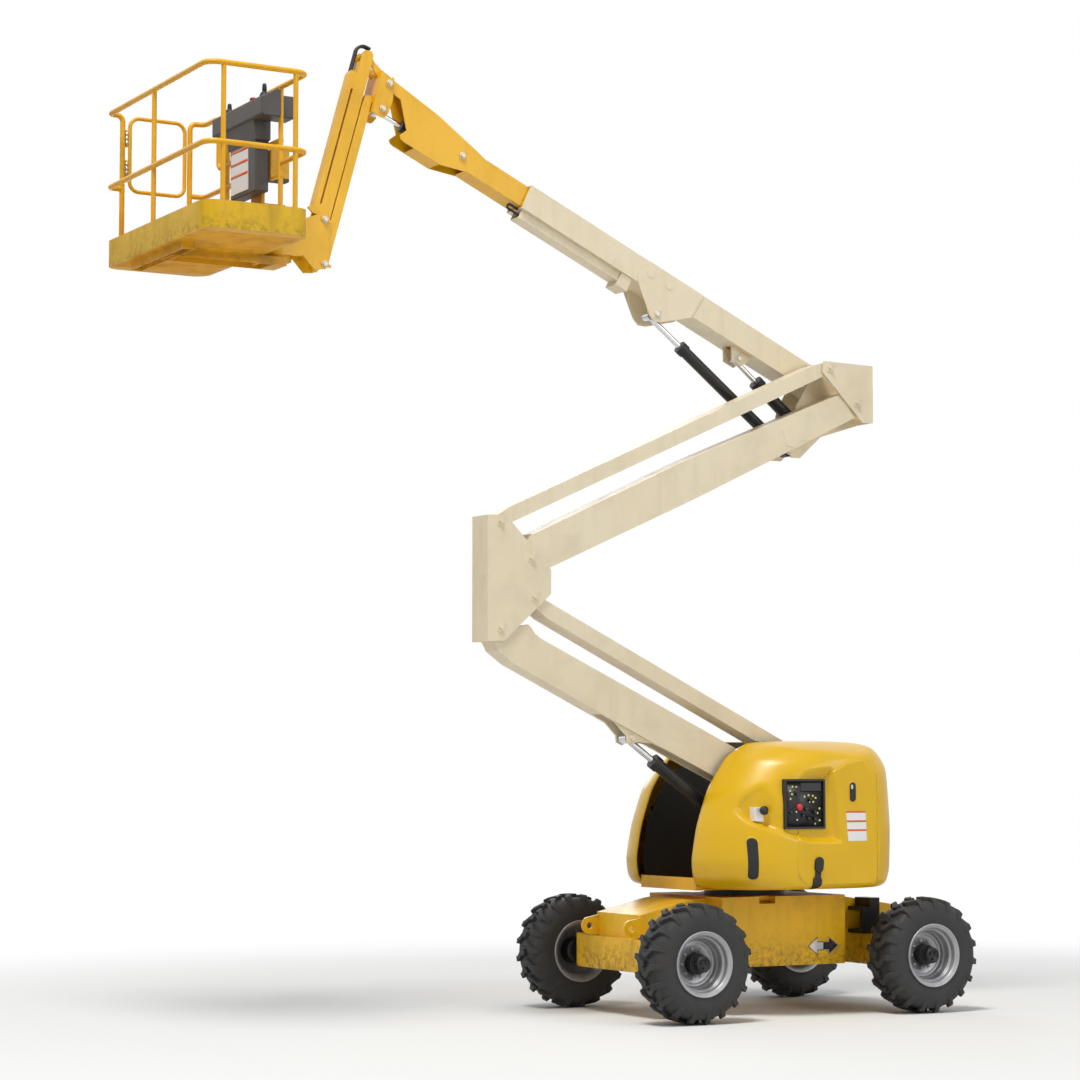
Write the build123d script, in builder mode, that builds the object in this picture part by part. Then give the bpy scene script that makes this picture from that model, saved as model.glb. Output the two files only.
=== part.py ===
from build123d import *
from math import atan2, cos, degrees, hypot, pi, radians, sin, tan
import os

os.makedirs("parts", exist_ok=True)

# Axes: X forward, Y to the left, Z up. Origin on the ground, midway between the wheels.
# Driving dimensions, in millimetres.

WHEELBASE = 1990.0
TRACK = 1706.0
TYRE_RADIUS = 423.0
TYRE_WIDTH = 300.0
TREAD_WIDTH = 246.0
RIM_RADIUS = 230.0
RIM_WIDTH = 310.0
LUG_COUNT = 19
RIM_BOLTS = 9
BOLT_CIRCLE = 102.0

ARM_LENGTH = 3112.0
LOWER_ARM_ANGLE = 26.0
MIDDLE_ARM_ANGLE = 24.4
BOOM_ANGLE = 25.1
JIB_ANGLE = -74.4
JIB_LENGTH = 1255.0

PLATE = 14.0
GAP = 6.0
ARM_WIDTH = 190.0
BOOM_WIDTH = 230.0
BOOM_DEPTH = 190.0
BOOM_WALL = 6.0
BASE_BOOM_LENGTH = 2900.0
FLY_WIDTH = 180.0
FLY_DEPTH = 158.0
PIN_RADIUS = 24.0
PIN_FIT = 0.05
RUNNING_GAP = 0.3
BOLT_RADIUS = 17.0
BOLT_HEIGHT = 14.0

POD_INNER = 383.0
POD_OUTER = 930.0
POD_BOTTOM = 905.0
POD_TOP = 1988.0
POD_REAR_SEAM = -548.0
SHELL = 12.0
RECESS_DEPTH = 34.0

ROTATOR_REACH = 317.97
PLATFORM_REACH = 161.0
PLATFORM_DEPTH = 761.0
PLATFORM_WIDTH = 1820.0
FLOOR_RISE = 16.98
TOE_HEIGHT = 184.0
TOE_WALL = 5.0
MID_RAIL_HEIGHT = 592.0
LOOP_RAIL_HEIGHT = 732.0
TOP_RAIL_HEIGHT = 1119.0
RAIL_RADIUS = 19.0
POST_RADIUS = 17.0

# Stations across the machine, worked out from the widths above.

BAY = BOOM_WIDTH / 2 + GAP
INNER_PLATE = (BAY, BAY + PLATE)
ARM_BAND = (BAY + PLATE + GAP, BAY + PLATE + GAP + ARM_WIDTH)
NEAR_PLATE = (ARM_BAND[1] + GAP, ARM_BAND[1] + GAP + PLATE)
FAR_PLATE = (-BAY - PLATE, -BAY)
INNER_LUG = (INNER_PLATE[0] - GAP - PLATE, INNER_PLATE[0] - GAP)
OUTER_LUG = (NEAR_PLATE[1] + GAP, NEAR_PLATE[1] + GAP + PLATE)
ARM_MIDDLE = (ARM_BAND[0] + ARM_BAND[1]) / 2


def step(point, angle, along, across=0.0):
    """The (x, z) point that lies so far along and above a line at an angle."""
    a = radians(angle)
    return (
        point[0] + along * cos(a) - across * sin(a),
        point[1] + along * sin(a) + across * cos(a),
    )


def path(point, angle, pairs):
    """An outline given as (along, above) pairs on a line at an angle."""
    return [step(point, angle, along, above) for along, above in pairs]


def near(point, pairs):
    """An outline given as (x, z) offsets from a point."""
    return [(point[0] + x, point[1] + z) for x, z in pairs]


def reach(start, end):
    """Length and angle from one (x, z) point to another."""
    run = end[0] - start[0]
    rise = end[1] - start[1]
    return hypot(run, rise), degrees(atan2(rise, run))


# Pins of the tower and boom, as (x, z), in the raised pose.

FOOT_D = (-539.05, 1405.79)
FOOT_C = (FOOT_D[0] - 269.0, FOOT_D[1] + 227.0)
PIN_D = step(FOOT_D, LOWER_ARM_ANGLE, ARM_LENGTH)
PIN_C = (PIN_D[0] - 269.0, PIN_D[1] + 227.0)
PIN_B = (PIN_D[0] - 246.0, PIN_D[1] + 500.0)
PIN_A = (PIN_D[0] + 5.0, PIN_D[1] + 752.0)
PIN_H = step(PIN_B, 180 - MIDDLE_ARM_ANGLE, ARM_LENGTH)
PIN_G = step(PIN_A, 180 - MIDDLE_ARM_ANGLE, ARM_LENGTH)
PIN_F = step(FOOT_D, LOWER_ARM_ANGLE, 1796.0, -212.0)
PIN_T = (0.0, 1160.0)
PIN_P = (PIN_H[0] + 122.0, PIN_H[1] + 130.0)
PIN_Q = (PIN_H[0] + 422.0, PIN_H[1] - 366.0)
PIN_R = (PIN_H[0] + 252.0, PIN_H[1] - 211.0)
PIN_I = step(PIN_P, BOOM_ANGLE, 1572.0, -232.0)
PIN_J = step(PIN_P, BOOM_ANGLE, 771.0, -159.0)
PIN_K1 = step(PIN_P, BOOM_ANGLE, 3469.0, 5.0)
PIN_K2 = step(PIN_P, BOOM_ANGLE, 4198.0, 165.0)
PIN_K3 = (PIN_K2[0] + 53.0, PIN_K2[1] - 190.0)
PIN_K5 = (PIN_K2[0] + 153.0, PIN_K2[1] - 126.0)
PIN_K4 = (PIN_K5[0], PIN_K5[1] + 314.0)
PIN_K7 = step(PIN_K5, JIB_ANGLE, JIB_LENGTH)
PIN_K6 = step(PIN_K4, JIB_ANGLE, JIB_LENGTH)

# The platform hangs on the jib: its rotator axis, rear edge and heights follow the lower jib pin.

ROTATOR_X = PIN_K7[0] + ROTATOR_REACH
PLATFORM_REAR = ROTATOR_X + PLATFORM_REACH
TOE_BOTTOM = PIN_K7[1] + FLOOR_RISE
TOE_TOP = TOE_BOTTOM + TOE_HEIGHT
MID_RAIL_TOP = TOE_BOTTOM + MID_RAIL_HEIGHT
LOOP_RAIL = TOE_BOTTOM + LOOP_RAIL_HEIGHT
TOP_RAIL_TOP = TOE_BOTTOM + TOP_RAIL_HEIGHT


def side_cut(outline, y_low, y_high, mode=Mode.ADD):
    """A plate with an (x, z) outline between two stations across the machine."""
    with BuildSketch(Plane.XZ.offset(-y_high)) as profile:
        with BuildLine():
            Polyline(*outline, close=True)
        make_face()
    extrude(profile.sketch, amount=y_high - y_low, mode=mode)


def cross_round(point, radius, y_low, y_high, mode=Mode.ADD):
    """A round bar or bore across the machine."""
    with BuildSketch(Plane.XZ.offset(-y_high)) as profile:
        with Locations(point):
            Circle(radius)
    extrude(profile.sketch, amount=y_high - y_low, mode=mode)


def upright_round(point, radius, z_low, z_high, mode=Mode.ADD):
    """A round post or bore along the vertical."""
    with BuildSketch(Plane.XY.offset(z_low)) as profile:
        with Locations(point):
            Circle(radius)
    extrude(profile.sketch, amount=z_high - z_low, mode=mode)


def bolt_head(point, y_face, side=1, keeper_angle=-52.0, height=BOLT_HEIGHT):
    """A pin's keeper plate, washer and bolt head on an outer face."""
    plate_low, plate_high = sorted((y_face, y_face + side * 5.0))
    washer_low, washer_high = sorted((y_face, y_face + side * 8.0))
    head_low, head_high = sorted((y_face, y_face + side * (8.0 + height)))
    side_cut(path(point, keeper_angle, [(-50, -11), (-50, 11), (36, 11), (36, -11)]), plate_low, plate_high)
    cross_round(point, BOLT_RADIUS * 1.4, washer_low, washer_high)
    with BuildSketch(Plane.XZ.offset(-head_high)) as profile:
        with Locations(point):
            RegularPolygon(BOLT_RADIUS, 6)
    extrude(profile.sketch, amount=head_high - head_low)


def box(x, y, z, mode=Mode.ADD):
    """A block from three (low, high) pairs."""
    with Locations(((x[0] + x[1]) / 2, (y[0] + y[1]) / 2, (z[0] + z[1]) / 2)):
        Box(x[1] - x[0], y[1] - y[0], z[1] - z[0], mode=mode)


def flat_cut(outline, z_low, z_high, mode=Mode.ADD):
    """A plate with an (x, y) outline between two heights."""
    with BuildSketch(Plane.XY.offset(z_low)) as profile:
        with BuildLine():
            Polyline(*outline, close=True)
        make_face()
    extrude(profile.sketch, amount=z_high - z_low, mode=mode)


def tube(points, radius, bends):
    """A bent round tube through corner points, with one bend radius for each corner."""
    corners = [Vector(*point) for point in points]
    start = corners[0]
    with BuildLine() as line:
        for before, corner, after, bend in zip(corners, corners[1:], corners[2:], bends):
            back = (before - corner).normalized()
            ahead = (after - corner).normalized()
            half = radians(back.get_angle(ahead)) / 2
            arc_start = corner + back * (bend / tan(half))
            arc_end = corner + ahead * (bend / tan(half))
            inward = (back + ahead).normalized()
            arc_middle = corner + inward * (bend / sin(half) - bend)
            Line(start, arc_start)
            ThreePointArc(arc_start, arc_middle, arc_end)
            start = arc_end
        Line(start, corners[-1])
    route = line.wire()
    with BuildSketch(Plane(origin=route @ 0, z_dir=route % 0)) as section:
        Circle(radius)
    sweep(sections=section.sketch, path=route)


def save(piece, name):
    piece.part.label = name
    export_step(piece.part, f"parts/{name}.step")


# Wheels

CARCASS = TYRE_RADIUS - 27.0

with BuildPart() as tyre_master:
    with BuildSketch(Plane.YZ):
        with BuildLine():
            Polyline(
                (-RIM_WIDTH / 2 + 26.0, RIM_RADIUS - 14.0),
                (-TYRE_WIDTH / 2 + 8.0, RIM_RADIUS + 22.0),
                (-TYRE_WIDTH / 2 + 1.0, RIM_RADIUS + 80.0),
                (-TYRE_WIDTH / 2 + 9.0, CARCASS - 28.0),
                (-TREAD_WIDTH / 2 + 6.0, CARCASS),
                (TREAD_WIDTH / 2 - 6.0, CARCASS),
                (TYRE_WIDTH / 2 - 9.0, CARCASS - 28.0),
                (TYRE_WIDTH / 2 - 1.0, RIM_RADIUS + 80.0),
                (TYRE_WIDTH / 2 - 8.0, RIM_RADIUS + 22.0),
                (RIM_WIDTH / 2 - 26.0, RIM_RADIUS - 14.0),
                close=True,
            )
        make_face()
    revolve(axis=Axis.Y)
    for side in (-1, 1):
        for index in range(LUG_COUNT):
            turn = 360.0 * (index + (0.25 if side > 0 else -0.25)) / LUG_COUNT
            bar = Plane.XY.rotated((0, turn, 0)).offset(CARCASS - 6.0)
            with BuildSketch(bar):
                with BuildLine():
                    Polyline(
                        (38.0, -8.0 * side),
                        (62.0, 34.0 * side),
                        (-4.0, 92.0 * side),
                        (-4.0, TREAD_WIDTH / 2 * side),
                        (-48.0, TREAD_WIDTH / 2 * side),
                        (-48.0, 84.0 * side),
                        (10.0, 26.0 * side),
                        (4.0, -8.0 * side),
                        close=True,
                    )
                make_face()
            extrude(amount=TYRE_RADIUS - CARCASS + 2.0)

with BuildPart() as rim_master:
    with BuildSketch(Plane.YZ):
        with BuildLine():
            Polyline(
                (RIM_WIDTH / 2, RIM_RADIUS),
                (RIM_WIDTH / 2, RIM_RADIUS - 12.0),
                (RIM_WIDTH / 2 - 22.0, RIM_RADIUS - 32.0),
                (RIM_WIDTH / 2 - 60.0, RIM_RADIUS - 36.0),
                (RIM_WIDTH / 2 - 78.0, RIM_RADIUS - 54.0),
                (14.0, RIM_RADIUS - 58.0),
                (8.0, RIM_RADIUS - 70.0),
                (8.0, 60.0),
                (-6.0, 60.0),
                (-6.0, RIM_RADIUS - 58.0),
                (-RIM_WIDTH / 2 + 70.0, RIM_RADIUS - 52.0),
                (-RIM_WIDTH / 2 + 22.0, RIM_RADIUS - 32.0),
                (-RIM_WIDTH / 2, RIM_RADIUS - 12.0),
                (-RIM_WIDTH / 2, RIM_RADIUS),
                (-RIM_WIDTH / 2 + 14.0, RIM_RADIUS),
                (-RIM_WIDTH / 2 + 26.0, RIM_RADIUS - 14.5),
                (RIM_WIDTH / 2 - 26.0, RIM_RADIUS - 14.5),
                (RIM_WIDTH / 2 - 14.0, RIM_RADIUS),
                close=True,
            )
        make_face()
    revolve(axis=Axis.Y)

    for index in range(RIM_BOLTS):
        angle = 2 * pi * index / RIM_BOLTS
        cross_round((BOLT_CIRCLE * cos(angle), BOLT_CIRCLE * sin(angle)), 9.0, 7.0, 20.0)

HUB_BACK = 95.0
SPINDLE_RADIUS = 40.0
SPINDLE_DEPTH = 40.0

with BuildPart() as hub_master:
    with BuildSketch(Plane.YZ):
        with BuildLine():
            Polyline(
                (-HUB_BACK, 0.0),
                (-HUB_BACK, 92.0),
                (-30.0, 98.0),
                (-6.3, 98.0),
                (-6.3, 59.7),
                (8.3, 59.7),
                (8.3, 76.0),
                (70.0, 72.0),
                (78.0, 60.0),
                (140.0, 56.0),
                (147.0, 48.0),
                (147.0, 0.0),
                close=True,
            )
        make_face()
    revolve(axis=Axis.Y)
    cross_round((0.0, 0.0), SPINDLE_RADIUS + PIN_FIT, -HUB_BACK - 1.0, -HUB_BACK + SPINDLE_DEPTH + 1.0,
            mode=Mode.SUBTRACT)

# Wheel table: name, x, y, turn about the vertical.
WHEELS = [
    ("front_left", WHEELBASE / 2, TRACK / 2, 0),
    ("front_right", WHEELBASE / 2, -TRACK / 2, 180),
    ("rear_left", -WHEELBASE / 2, TRACK / 2, 0),
    ("rear_right", -WHEELBASE / 2, -TRACK / 2, 180),
]
for name, x, y, turn in WHEELS:
    for piece, master in (("tyre", tyre_master), ("rim", rim_master), ("hub", hub_master)):
        with BuildPart() as wheel_piece:
            with Locations(Location((x, y, TYRE_RADIUS), (0, 0, turn))):
                add(master.part)
        save(wheel_piece, f"{piece}_{name}")

# Chassis

FRAME_TOP = 856.0
FRAME_BOTTOM = 352.0
FRAME_HALF = 500.0
FRAME_FRONT = 520.0
FRAME_REAR = -560.0
NOSE_HALF = 307.0
NOSE_WALL = 25.0
EAR_X = WHEELBASE / 2 + 174.0
EAR_Z = 639.0
EAR_RADIUS = 62.0
EAR_HOLE = 25.0
AXLE_HALF = 640.0
AXLE_SHOULDER = 520.0
AXLE_HEIGHT = (328.0, 562.0)
AXLE_DEPTH = 145.0
AXLE_END_DEPTH = 80.0
KINGPIN_Y = 690.0
KINGPIN_RADIUS = 22.0
LUG_THICKNESS = 34.0
FRAME_WALL = 30.0
TIE_ROD_X = WHEELBASE / 2 - 180.0
TIE_ROD_Z = AXLE_HEIGHT[0] + 65.0
TIE_ROD_RADIUS = 16.0
STEER_GAP = 8.0
NOSE_UNDERSIDE = (TIE_ROD_X + 45.0, TIE_ROD_X - 75.0, max(TIE_ROD_X - 175.0, FRAME_FRONT - 28.0))
STUB_END = TRACK / 2 - HUB_BACK - RUNNING_GAP

with BuildPart() as chassis_frame:
    box((FRAME_REAR, FRAME_FRONT), (-FRAME_HALF, FRAME_HALF), (FRAME_BOTTOM, FRAME_TOP))
    box(
        (FRAME_REAR + FRAME_WALL, FRAME_FRONT - FRAME_WALL), (-FRAME_HALF + FRAME_WALL,
                FRAME_HALF - FRAME_WALL),
        (FRAME_BOTTOM - 1.0, FRAME_TOP - FRAME_WALL), mode=Mode.SUBTRACT)
    side_cut(
        [(490.0, FRAME_BOTTOM), (490.0, FRAME_TOP), (690.0, 829.0), (EAR_X - 75.0, 735.0),
                (EAR_X - 75.0, 560.0),
         (NOSE_UNDERSIDE[0], 440.0), (NOSE_UNDERSIDE[1], 440.0), (NOSE_UNDERSIDE[2],
                 FRAME_BOTTOM)], -NOSE_HALF, NOSE_HALF)
    side_cut(
        [(519.0, FRAME_BOTTOM - 1.0), (519.0, FRAME_TOP - 32.0), (690.0, 799.0), (EAR_X - 105.0, 705.0),
         (EAR_X - 105.0, 560.0), (NOSE_UNDERSIDE[0], 430.0), (NOSE_UNDERSIDE[0] - 170.0, FRAME_BOTTOM - 1.0)],
        -NOSE_HALF + NOSE_WALL, NOSE_HALF - NOSE_WALL, mode=Mode.SUBTRACT)
    side_cut(
        [(-530.0, FRAME_BOTTOM), (-530.0, FRAME_TOP), (-EAR_X + 54.0, 768.0), (-EAR_X + 29.0, 600.0),
         (-EAR_X + 29.0, FRAME_BOTTOM)], -NOSE_HALF, NOSE_HALF)
    side_cut(
        [(-561.0, FRAME_BOTTOM - 1.0), (-561.0, FRAME_TOP - 32.0), (-EAR_X + 84.0, 738.0),
                (-EAR_X + 59.0, 600.0),
         (-EAR_X + 59.0, FRAME_BOTTOM - 1.0)], -NOSE_HALF + NOSE_WALL, NOSE_HALF - NOSE_WALL,
                 mode=Mode.SUBTRACT)
    for end in (-1, 1):
        middle = end * WHEELBASE / 2
        box((middle - AXLE_DEPTH, middle + AXLE_DEPTH), (-AXLE_SHOULDER, AXLE_SHOULDER), AXLE_HEIGHT)
        box((middle - AXLE_END_DEPTH, middle + AXLE_END_DEPTH), (-AXLE_HALF, AXLE_HALF), AXLE_HEIGHT)
        for side in (-1, 1):
            low, high = sorted((side * (NOSE_HALF - NOSE_WALL), side * NOSE_HALF))
            x_ear = end * EAR_X
            side_cut(
                [(x_ear - end * 200.0, 560.0), (x_ear, EAR_Z - EAR_RADIUS), (x_ear, EAR_Z + EAR_RADIUS),
                 (x_ear - end * 200.0, EAR_Z + 100.0)], low, high)
            cross_round((x_ear, EAR_Z), EAR_RADIUS, low, high)
            cross_round((x_ear, EAR_Z), EAR_HOLE, low - 1.0, high + 1.0, mode=Mode.SUBTRACT)
    for side in (-1, 1):
        pocket = [
            (WHEELBASE / 2 - 15.0, side * (AXLE_HALF + 1.0)), (WHEELBASE / 2 - AXLE_END_DEPTH - 1.0,
                    side * (AXLE_HALF + 1.0)),
            (WHEELBASE / 2 - AXLE_END_DEPTH - 1.0, side * (AXLE_HALF - 52.0))]
        flat_cut(pocket, TIE_ROD_Z - 15.0 - STEER_GAP, TIE_ROD_Z + 15.0 + STEER_GAP, mode=Mode.SUBTRACT)
        low, high = sorted((side * 420.0, side * (FRAME_HALF + 1.0)))
        box((60.0, 200.0), (low, high), (FRAME_TOP - 52.0, FRAME_TOP + 1.0), mode=Mode.SUBTRACT)
        for z_low, z_high in ((AXLE_HEIGHT[0], AXLE_HEIGHT[0] + LUG_THICKNESS),
                (AXLE_HEIGHT[1] - LUG_THICKNESS, AXLE_HEIGHT[1])):
            low, high = sorted((side * (AXLE_HALF - 10.0), side * KINGPIN_Y))
            box((WHEELBASE / 2 - 45.0, WHEELBASE / 2 + 45.0), (low, high), (z_low, z_high))
            upright_round((WHEELBASE / 2, side * KINGPIN_Y), 45.0, z_low, z_high)
            upright_round(
                (WHEELBASE / 2, side * KINGPIN_Y), KINGPIN_RADIUS + PIN_FIT, z_low - 1.0, z_high + 1.0,
                        mode=Mode.SUBTRACT)
        low, high = sorted((side * (AXLE_HALF - 5.0), side * STUB_END))
        cross_round((-WHEELBASE / 2, TYRE_RADIUS), 90.0, low, high)
        low, high = sorted((side * (STUB_END - 5.0), side * (STUB_END + SPINDLE_DEPTH)))
        cross_round((-WHEELBASE / 2, TYRE_RADIUS), SPINDLE_RADIUS, low, high)
        low, high = sorted((side * (NOSE_HALF - NOSE_WALL), side * NOSE_HALF))
        box((TIE_ROD_X - 32.0, TIE_ROD_X + 32.0), (low, high), (TIE_ROD_Z - 30.0, 470.0))
        cross_round((TIE_ROD_X, TIE_ROD_Z), TIE_ROD_RADIUS + PIN_FIT, low - 1.0, high + 1.0,
                mode=Mode.SUBTRACT)
save(chassis_frame, "chassis_frame")

with BuildPart() as bearing_ring:
    with BuildSketch(Plane.XY.offset(FRAME_TOP)):
        Circle(300.0)
        Circle(230.0, mode=Mode.SUBTRACT)
    extrude(amount=POD_BOTTOM - FRAME_TOP)
save(bearing_ring, "bearing_ring")

POST_X = (-WHEELBASE / 2 + 115.0, -WHEELBASE / 2 + 270.0)
for side, name in ((1, "left"), (-1, "right")):
    with BuildPart() as rear_post:
        low, high = sorted((side * NOSE_HALF, side * (FRAME_HALF - 6.0)))
        box(POST_X, (low, high), (AXLE_HEIGHT[1], 760.0))
        box((POST_X[0], POST_X[0] + 90.0), (low, high), (759.0, 826.0))
        low, high = sorted((side * (NOSE_HALF - 1.0), side * (FRAME_HALF - 40.0)))
        box((POST_X[0] + 24.0, POST_X[1] + 1.0), (low, high), (AXLE_HEIGHT[1] + 30.0, 730.0),
                mode=Mode.SUBTRACT)
    save(rear_post, f"rear_post_{name}")

for side, name in ((1, "left"), (-1, "right")):
    with BuildPart() as knuckle:
        inner_top = AXLE_HEIGHT[1] - LUG_THICKNESS - RUNNING_GAP
        inner_low = AXLE_HEIGHT[0] + LUG_THICKNESS + RUNNING_GAP
        upright_round((WHEELBASE / 2, side * KINGPIN_Y), 44.0, inner_low, inner_top)
        upright_round((WHEELBASE / 2, side * KINGPIN_Y), KINGPIN_RADIUS, AXLE_HEIGHT[0] - 6.0,
                AXLE_HEIGHT[1] + 6.0)
        low, high = sorted((side * (KINGPIN_Y + 10.0), side * STUB_END))
        cross_round((WHEELBASE / 2, TYRE_RADIUS), 52.0, low, high)
        low, high = sorted((side * (STUB_END - 5.0), side * (STUB_END + SPINDLE_DEPTH)))
        cross_round((WHEELBASE / 2, TYRE_RADIUS), SPINDLE_RADIUS, low, high)
        flat_cut(
            [(WHEELBASE / 2, side * (KINGPIN_Y - 20.0)), (WHEELBASE / 2, side * (KINGPIN_Y + 4.0)),
             (TIE_ROD_X - 24.0, side * (KINGPIN_Y - 14.0)), (TIE_ROD_X - 24.0, side * (KINGPIN_Y - 40.0)),
             (TIE_ROD_X + 24.0, side * (KINGPIN_Y - 40.0))], TIE_ROD_Z - 15.0, TIE_ROD_Z + 15.0)
    save(knuckle, f"knuckle_{name}")

TIE_ROD_HALF = KINGPIN_Y - 51.0
with BuildPart() as tie_rod:
    cross_round((TIE_ROD_X, TIE_ROD_Z), TIE_ROD_RADIUS, -TIE_ROD_HALF, TIE_ROD_HALF)
save(tie_rod, "tie_rod")

# Turntable

TRAY_HALF = POD_INNER - 3.0
WALL_BAND = (POD_INNER + 6.5, POD_INNER + 12.5)


def pod_bow(y):
    """How far the pod's plan has curved in at a station: 1 at the inner wall, towards 0 outside."""
    share = max(0.0, (abs(y) - POD_INNER) / (POD_OUTER - POD_INNER))
    share = min(share, 0.97)
    return (1.0 - share * share) ** 0.5


def pod_front(y):
    """The pod's foremost x at one station."""
    return 118.0 + 594.0 * pod_bow(y)


def pod_section(y):
    """The pod's side outline at one station: corners as (x, z), pulled in towards its outer side."""
    bow = pod_bow(y)
    front = pod_front(y)
    rear = -470.0 - 353.0 * (1.0 - ((max(abs(y) - 600.0, 0.0) / 345.0) ** 2)) ** 0.5
    top = POD_TOP - 150.0 * (1.0 - bow)
    bottom = POD_BOTTOM + 4.0
    height = top - bottom
    return [
        (rear + 60.0, bottom),
        (front - 60.0, bottom),
        (front - 5.0, bottom + 0.09 * height),
        (front, bottom + 0.2 * height),
        (front - 45.0, bottom + 0.42 * height),
        (front - 140.0, bottom + 0.66 * height),
        (front - 300.0, bottom + 0.88 * height),
        (front - 480.0 if front > 400.0 else front - 340.0, top),
        (rear + 130.0, top),
        (rear + 30.0, bottom + 0.86 * height),
        (rear, bottom + 0.45 * height),
    ]


def pulled_in(outline, shrink):
    """An outline drawn in towards its middle by about the wall's thickness."""
    cx = sum(p[0] for p in outline) / len(outline)
    cz = sum(p[1] for p in outline) / len(outline)
    return [(cx + (p[0] - cx) * (1 - shrink / 700.0),
            cz + (p[1] - cz) * (1 - shrink / 525.0)) for p in outline]


def pod_body(side, shrink=0.0, mode=Mode.ADD):
    """A pod's bulged body through sections from its inner wall to its outer skin."""
    stations = (POD_INNER - (1.0 if shrink else 0.0), 560.0, 720.0, 850.0, POD_OUTER - shrink)
    sections = []
    for station in stations:
        outline = pulled_in(pod_section(station), shrink)
        with BuildSketch(Plane.XZ.offset(-side * station)) as section:
            with BuildLine():
                Polyline(*outline, close=True)
            make_face()
        sections.append(section.sketch)
    loft(sections, ruled=True, mode=mode)


# The hood's lining is the pod's body drawn in by the skin, kept clear of the recess.
RECESS = [(600.0, 1545.0), (430.0, 1640.0), (217.0, 1739.0), (-120.0, 1796.0), (-158.0, 1780.0),
        (-232.0, 1249.0), (-200.0, 1215.0), (520.0, 1440.0)]
RECESS_FLOOR = POD_OUTER - RECESS_DEPTH
PANEL_X = (-110.0, 243.0)
PANEL_Z = (1352.0, 1710.0)

# Hood hinge: axis station and height, pin and barrel radius, ear length, then each hinge's two ends along X.
HINGE_Y = POD_INNER - 7.0
HINGE_Z = POD_TOP - 10.0
HINGE_PIN = 5.0
HINGE_BARREL = 9.0
EAR = 10.0
HOOD_HINGES = [(-420.0, -350.0), (60.0, 130.0)]

for side, name in ((1, "left"), (-1, "right")):
    with BuildPart() as lining:
        pod_body(side, shrink=SHELL)
        low, high = sorted((side * (RECESS_FLOOR - SHELL), side * (POD_OUTER + 10.0)))
        side_cut(RECESS, low, high, mode=Mode.SUBTRACT)
    with BuildPart() as hood:
        pod_body(side)
        low, high = sorted((side * RECESS_FLOOR, side * (POD_OUTER + 10.0)))
        side_cut(RECESS, low, high, mode=Mode.SUBTRACT)
        add(lining.part, mode=Mode.SUBTRACT)
        low, high = sorted((side * (POD_INNER - 10.0), side * (POD_OUTER + 10.0)))
        box((-1000.0, POD_REAR_SEAM), (low, high), (POD_BOTTOM - 10.0, POD_TOP + 20.0), mode=Mode.SUBTRACT)
        box((-1000.0, 1000.0), (low, high), (POD_BOTTOM - 10.0, POD_BOTTOM + 30.0), mode=Mode.SUBTRACT)
        if side > 0:
            box(PANEL_X, (RECESS_FLOOR - 40.0, POD_OUTER + 10.0), PANEL_Z, mode=Mode.SUBTRACT)
        low, high = sorted((side * 600.0, side * (POD_OUTER + 10.0)))
        with BuildSketch(Plane.XZ.offset(-high)) as slot:
            with Locations((470.0, 1150.0)):
                SlotOverall(290.0, 70.0, rotation=78.0)
            with Locations((-310.0, 1620.0)):
                SlotOverall(130.0, 52.0, rotation=90.0)
        extrude(slot.sketch, amount=high - low, mode=Mode.SUBTRACT)
        inner, outer = sorted((side * HINGE_Y, side * (POD_INNER + 13.0)))
        for start, stop in HOOD_HINGES:
            for ear_start in (start - 3.0, stop - EAR - RUNNING_GAP):
                box((ear_start, ear_start + EAR + 3.3), (inner, outer), (HINGE_Z - 20.0, POD_TOP + 2.0),
                        mode=Mode.SUBTRACT)
            with BuildSketch(Plane.YZ.offset(start + EAR + RUNNING_GAP)) as barrel_end:
                with Locations((side * HINGE_Y, HINGE_Z)):
                    Circle(HINGE_BARREL)
            extrude(barrel_end.sketch, amount=stop - start - 2 * EAR - 2 * RUNNING_GAP)
            with BuildSketch(Plane.YZ.offset(start - 1.0)) as bore_end:
                with Locations((side * HINGE_Y, HINGE_Z)):
                    Circle(HINGE_PIN + PIN_FIT)
            extrude(bore_end.sketch, amount=stop - start + 2.0, mode=Mode.SUBTRACT)
    save(hood, f"hood_{name}")

with BuildPart() as control_panel:
    box(PANEL_X, (RECESS_FLOOR - SHELL - 20.0, RECESS_FLOOR + 5.0), PANEL_Z)
    box((PANEL_X[0] + 16.0, PANEL_X[1] - 16.0), (RECESS_FLOOR - 6.0, RECESS_FLOOR + 6.0),
            (PANEL_Z[0] + 16.0, PANEL_Z[1] - 16.0), mode=Mode.SUBTRACT)
save(control_panel, "control_panel")

COUNTER_BLOCK = (-812.0, -705.0)
with BuildPart() as counterweight:
    for side in (1, -1):
        pod_body(side)
    box((POD_REAR_SEAM - 6.0, 900.0), (-POD_OUTER - 10.0, POD_OUTER + 10.0),
            (POD_BOTTOM - 10.0, POD_TOP + 20.0), mode=Mode.SUBTRACT)
    box(COUNTER_BLOCK, (-POD_INNER - 5.0, POD_INNER + 5.0), (POD_BOTTOM + 8.0, POD_BOTTOM + 240.0))
save(counterweight, "counterweight")

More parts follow.
